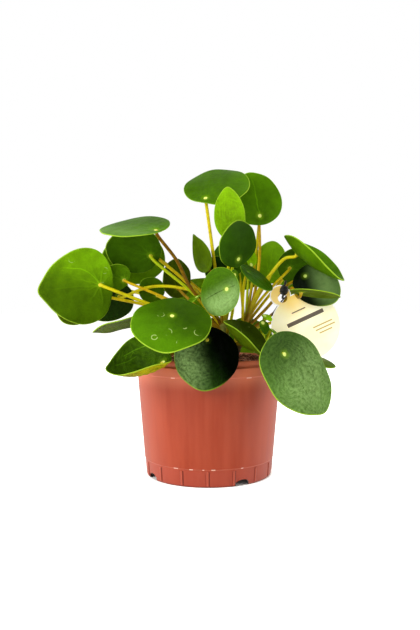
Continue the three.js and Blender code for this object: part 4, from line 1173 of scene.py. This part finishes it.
def through(points, t):
    """A smooth curve through all the points, with knots spaced by the root of their distance."""
    points = [np.asarray(p, float) for p in points]
    points = [2 * points[0] - points[1]] + points + [2 * points[-1] - points[-2]]
    gaps = [np.linalg.norm(b - a) ** 0.5 for a, b in zip(points, points[1:])]
    knots = np.concatenate([[0], np.cumsum(gaps)])
    places = []
    for at in knots[1] + t * (knots[-2] - knots[1]):
        first = min(max(np.searchsorted(knots, at, side="right") - 1, 1), len(points) - 3) - 1
        p, k = points[first:first + 4], knots[first:first + 4]
        lines = [between(p[i], p[i + 1], k[i], k[i + 1], at) for i in range(3)]
        bows = [between(lines[i], lines[i + 1], k[i], k[i + 2], at) for i in range(2)]
        places.append(between(*bows, k[1], k[2], at))
    return np.array(places)


def along_fork(side, height):
    """The place on a fork of the stem at this height."""
    top = np.array(CROWN[side], float)
    share = (height - TRUNK["fork"]) / (top[2] - TRUNK["fork"])
    foot = np.array((*TRUNK_FOOT, TRUNK["fork"]), float)
    return foot + (top - foot) * share


def stalk(leaf, start):
    """The stalk's points and faces, and how far along it each point is."""
    hub_x, hub_y = hub_place(leaf)
    under = float(blade_height(leaf, hub_x, hub_y)) - STALK_DEPTH
    end = in_place(leaf, hub_x, hub_y, under)
    below = in_place(leaf, hub_x, hub_y, under - leaf["reach"])
    t = np.linspace(0, 1, STALK_STEPS)
    if "via" in leaf:
        path = through([start, *leaf["via"], below, end], t)
    else:
        path = bezier([start, start + leaf["pull"], below, end], t)
    path = np.vstack([path, in_place(leaf, hub_x, hub_y, under + STALK_PLUG)])
    t = np.append(t, 1)
    radius = STALK_RADIUS + leaf["size"][0] * STALK_GAIN
    swell = 1 + FOOT_SWELL[0] * hump(t, FOOT_SWELL[1]) + HUB_SWELL[0] * hump(1 - t, HUB_SWELL[1])
    swell -= STALK_TAPER * t
    points, faces = tube(path, radius * swell, STALK_SIDES)
    return points, faces, np.concatenate([[0], np.repeat(t, STALK_SIDES), [1]])


fleshy, sap = new_finish("fleshy_stalk", {
    "Roughness": 0.38, "Specular IOR Level": 0.12, "Subsurface Weight": 0.2,
    "Subsurface Radius": (1.0, 0.8, 0.2), "Subsurface Scale": 0.001,
})
ripeness, reach_along = sap.stored("ripe"), sap.stored("along")
streak = sap.add("TexCoord", output="Object").noise(260, 3)
ripe_colour = sap.add("ValToRGB", {"stops": [
    (0.25, colour(160, 186, 8)), (0.5, colour(212, 200, 16)), (0.7, colour(206, 170, 12)),
    (0.9, colour(122, 86, 10))]}, {"Fac": ripeness + (streak - 0.5) * 0.25})
stalk_colour = layered(
    ripe_colour,
    # darker and browner towards the foot: partly its own colour, partly painted shade in the crown
    (reach_along.step(0.34, 0.02) * 0.8, colour(104, 66, 14)),
    (streak.step(0.5, 0.75) * 0.3, colour(96, 84, 8)),
    (reach_along.step(0.93, 0.99) * 0.7, colour(226, 206, 70)))
sap.coat({"Base Color": stalk_colour, "Normal": streak.bump(0.25, 0.0004)})


def add_stalks(name, leaves, starts):
    """One piece of all the stalks, each from its own start."""
    made = [stalk(leaf, start) for leaf, start in zip(leaves, starts)]
    points, faces, counts = gather([part[:2] for part in made])
    piece = new_piece(name, points, faces, fleshy)
    set_attribute(piece, "along", np.concatenate([part[2] for part in made]))
    set_attribute(piece, "ripe", np.repeat([leaf["ripe"] for leaf in leaves], counts))
    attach(piece, "root")
    return piece


stalk_starts = [along_fork(*leaf["foot"]) for leaf in LEAVES.values()]
stalks = add_stalks("leaf_stalks", LEAVES.values(), stalk_starts)
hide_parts("stem_and_stalks")


# ------------------------------------------------------------------------------ offset shoot
# A young plant that has come up from the root beside the stem: a thin green stem with three
# small leaves on short stalks.

SHOOT_TOP = (46, -12, 109)
SHOOT_RADIUS = 1.5
SHOOT_TIP = (0.8, 0.4)  # how much of it is left in the last two rings
SHOOT_COLOUR = {"along": 0.4, "ripe": 0.45}  # that of a leaf stalk this far along it, and this ripe
SHOOT_DEPTH = 10  # how far below the soil's edge its foot lies
SHOOT_KNEE = 7  # and how far above it the stem leans over
SHOOT_LEAVES = {
    "shoot_upper": new_leaf(
        middle=(48.5, -20, 133), face=(-60, 55), spin=20, size=(10, 8), hub=0.3, fold=0.8,
        foot=108, pull=(1, -1, 8), reach=3, ripe=0.3,
        green="young"),
    "shoot_front": new_leaf(
        middle=(45.5, -24, 125), face=(-65, 25), spin=0, size=(13, 9), hub=0.3, fold=1.5,
        foot=106, pull=(0, -4, 6), reach=3, ripe=0.35,
        green="deep"),
    "shoot_side": new_leaf(
        middle=(56, -10, 121), face=(-20, 50), spin=0, size=(11, 9), hub=0.3, dome=0.5,
        foot=105, pull=(3, 0, 5), reach=3, ripe=0.35,
        green="fresh"),
}

knee = np.array((*SHOOT_FOOT, SOIL_TOP + SHOOT_KNEE), float)
shoot_top = np.array(SHOOT_TOP, float)
for seed, (name, leaf) in enumerate(SHOOT_LEAVES.items(), len(LEAVES)):
    add_blade(name, leaf, seed)
shoot_starts = [knee + (shoot_top - knee) * (leaf["foot"] - knee[2]) / (shoot_top[2] - knee[2])
                for leaf in SHOOT_LEAVES.values()]
shoot_foot = (*SHOOT_FOOT, SOIL_TOP - SHOOT_DEPTH)
shoot_path = np.vstack([np.linspace(shoot_foot, knee, 8)[:-1], np.linspace(knee, shoot_top, 10)])
shoot_radii = np.full(len(shoot_path), SHOOT_RADIUS)
shoot_radii[-2:] *= SHOOT_TIP
shoot_stem = new_piece("shoot_stem", *tube(shoot_path, shoot_radii, 16), fleshy)
for kind, value in SHOOT_COLOUR.items():
    set_attribute(shoot_stem, kind, np.full(len(shoot_stem.data.vertices), value))
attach(shoot_stem, "root")
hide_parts("offset_shoot")
shoot_stalks = add_stalks("shoot_stalks", SHOOT_LEAVES.values(), shoot_starts)
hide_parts("offset_shoot")


# --------------------------------------------------------------------------------------- tag
# A round plant label die-cut from coated card, with a small holed tab. It is cream with a thin
# white margin and a warm wash at the top, and its face has only plain ruled lines.

TAG = {"middle": (84, 3, 125), "heading": -95, "lift": 2, "radius": 30, "tab_radius": 9.2,
       "tab_reach": 34.5, "tab_lean": 39.5, "hole_radius": 4.1, "hole_reach": 31.6, "neck": 7.6,
       "thickness": 0.8, "margin": 0.9}
EDGE = 0.15  # how far the card's cut edge is rounded
RULES = [  # place along and across the writing, length and width, and ink
    ((0, 15), (13, 1.1), "thin"), ((2.5, 6.5), (34, 3.6), "bold"), ((14, -4), (18, 1.2), "olive"),
    ((15, -7.2), (18, 1.2), "olive"), ((14, -10.4), (12, 1.2), "olive"),
]
INKS = {"thin": colour(60, 50, 30), "bold": colour(48, 18, 10), "olive": colour(176, 152, 60)}
RULE_TURN = 14.5  # degrees between the rules and the line across the tab
INK_EDGE = 0.15  # over which the print fades out


def tag_axes():
    """The tag's own directions: across its tab, along it, and out of its printed face."""
    face = direction(TAG["heading"], TAG["lift"])
    right = np.cross((0, 0, 1), face)
    right /= np.linalg.norm(right)
    lean = math.radians(TAG["tab_lean"])
    tab = np.cross(face, right) * math.cos(lean) - right * math.sin(lean)
    return np.array([np.cross(tab, face), tab, face])


def on_tag(places):
    return np.asarray(places, float) @ tag_axes() + TAG["middle"]


def arc(centre_y, radius, first, last, count):
    return [(radius * math.cos(t), centre_y + radius * math.sin(t))
            for t in np.linspace(first, last, count)]


def card_loops(inset):
    """The card's outline and the hole's, with its edge drawn in by the inset."""
    quarter = math.pi / 2
    card, tab = TAG["radius"] - inset, TAG["tab_radius"] - inset
    at_card, at_tab = math.asin(TAG["neck"] / card), math.asin(TAG["neck"] / tab)
    outline = arc(0, card, quarter + at_card, 5 * quarter - at_card, 120)
    outline += arc(TAG["tab_reach"], tab, -quarter + at_tab, 3 * quarter - at_tab, 48)
    return outline, arc(TAG["hole_reach"], TAG["hole_radius"] + inset, 0, 2 * math.pi, 33)[:-1]


card_places, card_faces = [], []
half = TAG["thickness"] / 2
for inset, level in ((EDGE, half), (0, half - EDGE), (0, EDGE - half), (EDGE, -half)):
    loops = card_loops(inset)
    start = len(card_places)
    if abs(level) == half:
        fan = tessellate_polygon([[Vector((x, y, 0)) for x, y in loop] for loop in loops])
        card_faces += [tuple(start + i for i in corners) for corners in fan]
    card_places += [(x, y, level) for loop in loops for x, y in loop]
    around = len(loops[0]) + len(loops[1])
    if start:
        for first, count in ((start, len(loops[0])), (start + len(loops[0]), len(loops[1]))):
            for i in range(count):
                a, b = first + i, first + (i + 1) % count
                card_faces.append((a, b, b - around, a - around))
card_places = np.array(card_places)

# The card glows faintly in its own colour: painted light that brightens it.
coated_card, print_ink = new_finish("coated_card", {
    "Specular IOR Level": 0.4, "Roughness": 0.55, "Emission Strength": 0.16})
on_face = print_ink.stored("flat", "Vector")
face_x, face_y, face_z = on_face.parts()
turn = math.radians(RULE_TURN)
rule_along = face_x * math.cos(turn) - face_y * math.sin(turn)
rule_across = face_x * math.sin(turn) + face_y * math.cos(turn)


def printed_disc(centre_y, radius):
    """The round of the card's face that lies inside its white margin."""
    edge = radius - TAG["margin"]
    away = distance(face_x, face_y - centre_y * MM)
    return away.step((edge + INK_EDGE) * MM, (edge - INK_EDGE) * MM)


def ruled_line(at, level, length, width):
    """A printed bar, from the place of its middle along and across the writing."""
    off_along = (rule_along - at * MM).maths("ABSOLUTE")
    off_across = (rule_across - level * MM).maths("ABSOLUTE")
    ends = off_along.step(length / 2 * MM, (length / 2 - INK_EDGE) * MM)
    return ends * off_across.step(width / 2 * MM, (width / 2 - 0.12) * MM)


tab_print = printed_disc(TAG["tab_reach"], TAG["tab_radius"])
printed = printed_disc(0, TAG["radius"]).maths("MAXIMUM", tab_print) * face_z.step(0, 0.0002)
wash = on_face.noise(40, 3, 0.6)
warmth = face_y.step(0.002, 0.03) * (wash * 0.8 + 0.6) * face_x.step(-0.018, 0.004)
print_colour = layered(
    (wash.step(0.35, 0.7) * 0.5).mix(colour(255, 252, 216), colour(253, 240, 190)),
    (warmth * 0.85, colour(246, 204, 70)),
    (face_y.step(0.026, 0.034) * 0.7, colour(252, 214, 116)),
    *[(ruled_line(*middle, *size) * 0.9, INKS[ink]) for middle, size, ink in RULES])
card_colour = printed.mix(colour(255, 254, 246), print_colour)
print_ink.coat({
    "Base Color": card_colour, "Emission Color": card_colour,
    "Normal": on_face.noise(900, 3).bump(0.12, 0.0003)})
tag = new_piece("card_label", on_tag(card_places), card_faces, coated_card, crease=40)
set_attribute(tag, "flat", card_places * MM)
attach(tag, "root")
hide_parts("tag")


# ------------------------------------------------------------------------------------ elastic
# A black elastic cord that ties the label to the leaf stalk behind it: a loop through the hole,
# wound tight with its own end, and a short cut tail that hangs behind the card.

ELASTIC = {"half_length": 7.5, "half_width": 4.2, "back": 2, "lean": 50, "seam": 1.4, "waver": 0.25}
KNOT = {"along": -0.8, "proud": 1.2, "turns": 6, "windings": (4.1, 2, 3.3), "core": (3.7, 1.7)}
CORD = {"loop": (0.75, 4.2), "knot": (0.62, 3.4), "tail": (0.6, 3.6)}  # radius and pitch of its lay
CORD_STRANDS = 3
CORD_LOBES = (0.84, 0.2)  # its radius between two strands, and how much more it is over one
CORD_SIDES = 18
TAIL = [(68.5, 6.5, 152), (65, 7.2, 148.5), (60.5, 7.4, 143), (57, 6.8, 138), (55, 6.2, 134.6)]


def on_elastic(places):
    """From the loop's frame, X along it from the hole and Y towards the front, to the plant's."""
    x, y, z = np.asarray(places, float).T
    lean = math.radians(-ELASTIC["lean"])
    up, out, side = x + ELASTIC["half_length"], y - ELASTIC["back"], z
    across = side * math.cos(lean) - up * math.sin(lean)
    along = side * math.sin(lean) + up * math.cos(lean)
    return on_tag(np.column_stack([across, along + TAG["hole_reach"], out]))


def twisted(path, radius, pitch):
    """A cord laid up from strands: a tube whose lobed section turns along its length."""
    points, faces = tube(path, radius, CORD_SIDES)
    rings = points[1:-1].reshape(len(path), CORD_SIDES, 3)
    steps = np.linalg.norm(np.diff(path, axis=0), axis=1)
    travelled = np.concatenate([[0], np.cumsum(steps)])
    turn = np.arange(CORD_SIDES) * 2 * math.pi / CORD_SIDES
    twist = turn[None, :] + 2 * math.pi * travelled[:, None] / pitch
    lobes = CORD_LOBES[0] + CORD_LOBES[1] * np.abs(np.sin(CORD_STRANDS / 2 * twist))
    centre = np.asarray(path)[:, None, :]
    points[1:-1] = (centre + (rings - centre) * lobes[..., None]).reshape(-1, 3)
    return points, faces


t = np.linspace(0, 2 * math.pi, 150) + ELASTIC["seam"]
loop_path = on_elastic(np.column_stack([
    ELASTIC["half_length"] * np.cos(t), ELASTIC["half_width"] * np.sin(t),
    ELASTIC["waver"] * np.sin(3 * t)]))
wound = np.linspace(-1, 1, 260)
knot_level = ELASTIC["half_width"] + KNOT["proud"]
knot_long, knot_out, knot_side = KNOT["windings"]
belly = np.sqrt(1 - (0.9 * wound) ** 2)
coil = wound * math.pi * KNOT["turns"]
knot_path = on_elastic(np.column_stack([
    KNOT["along"] + knot_long * wound, knot_level + knot_out * belly * np.cos(coil),
    knot_side * belly * np.sin(coil)]))
core_long, core_out = KNOT["core"]
core = on_elastic([(x, knot_level, 0) for x in KNOT["along"] + core_long * wound[::10]])
core_radius = core_out * np.sqrt(1 - np.linspace(-0.9, 0.9, len(core)) ** 2)
tail_path = through(TAIL, np.linspace(0, 1, 60))
elastic_parts = [
    twisted(loop_path, *CORD["loop"]), twisted(knot_path, *CORD["knot"]),
    tube(core, core_radius, 12), twisted(tail_path, *CORD["tail"])]
elastic_points, elastic_faces, _ = gather(elastic_parts)
cord_black, fuzz = new_finish("black_elastic", {
    "Specular IOR Level": 0.6, "Sheen Weight": 0.25, "Sheen Roughness": 0.4})
fray = fuzz.add("TexCoord", output="Object").noise(2200, 3, 0.6)
fuzz.coat({
    "Base Color": fray.step(0.5, 0.75).mix(colour(14, 14, 15), colour(64, 62, 64)),
    "Roughness": fray * 0.3 + 0.25, "Normal": fray.bump(0.5, 0.0003)})
elastic = new_piece("tie_elastic", elastic_points, elastic_faces, cord_black)
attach(elastic, "root")
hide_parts("tag_elastic")
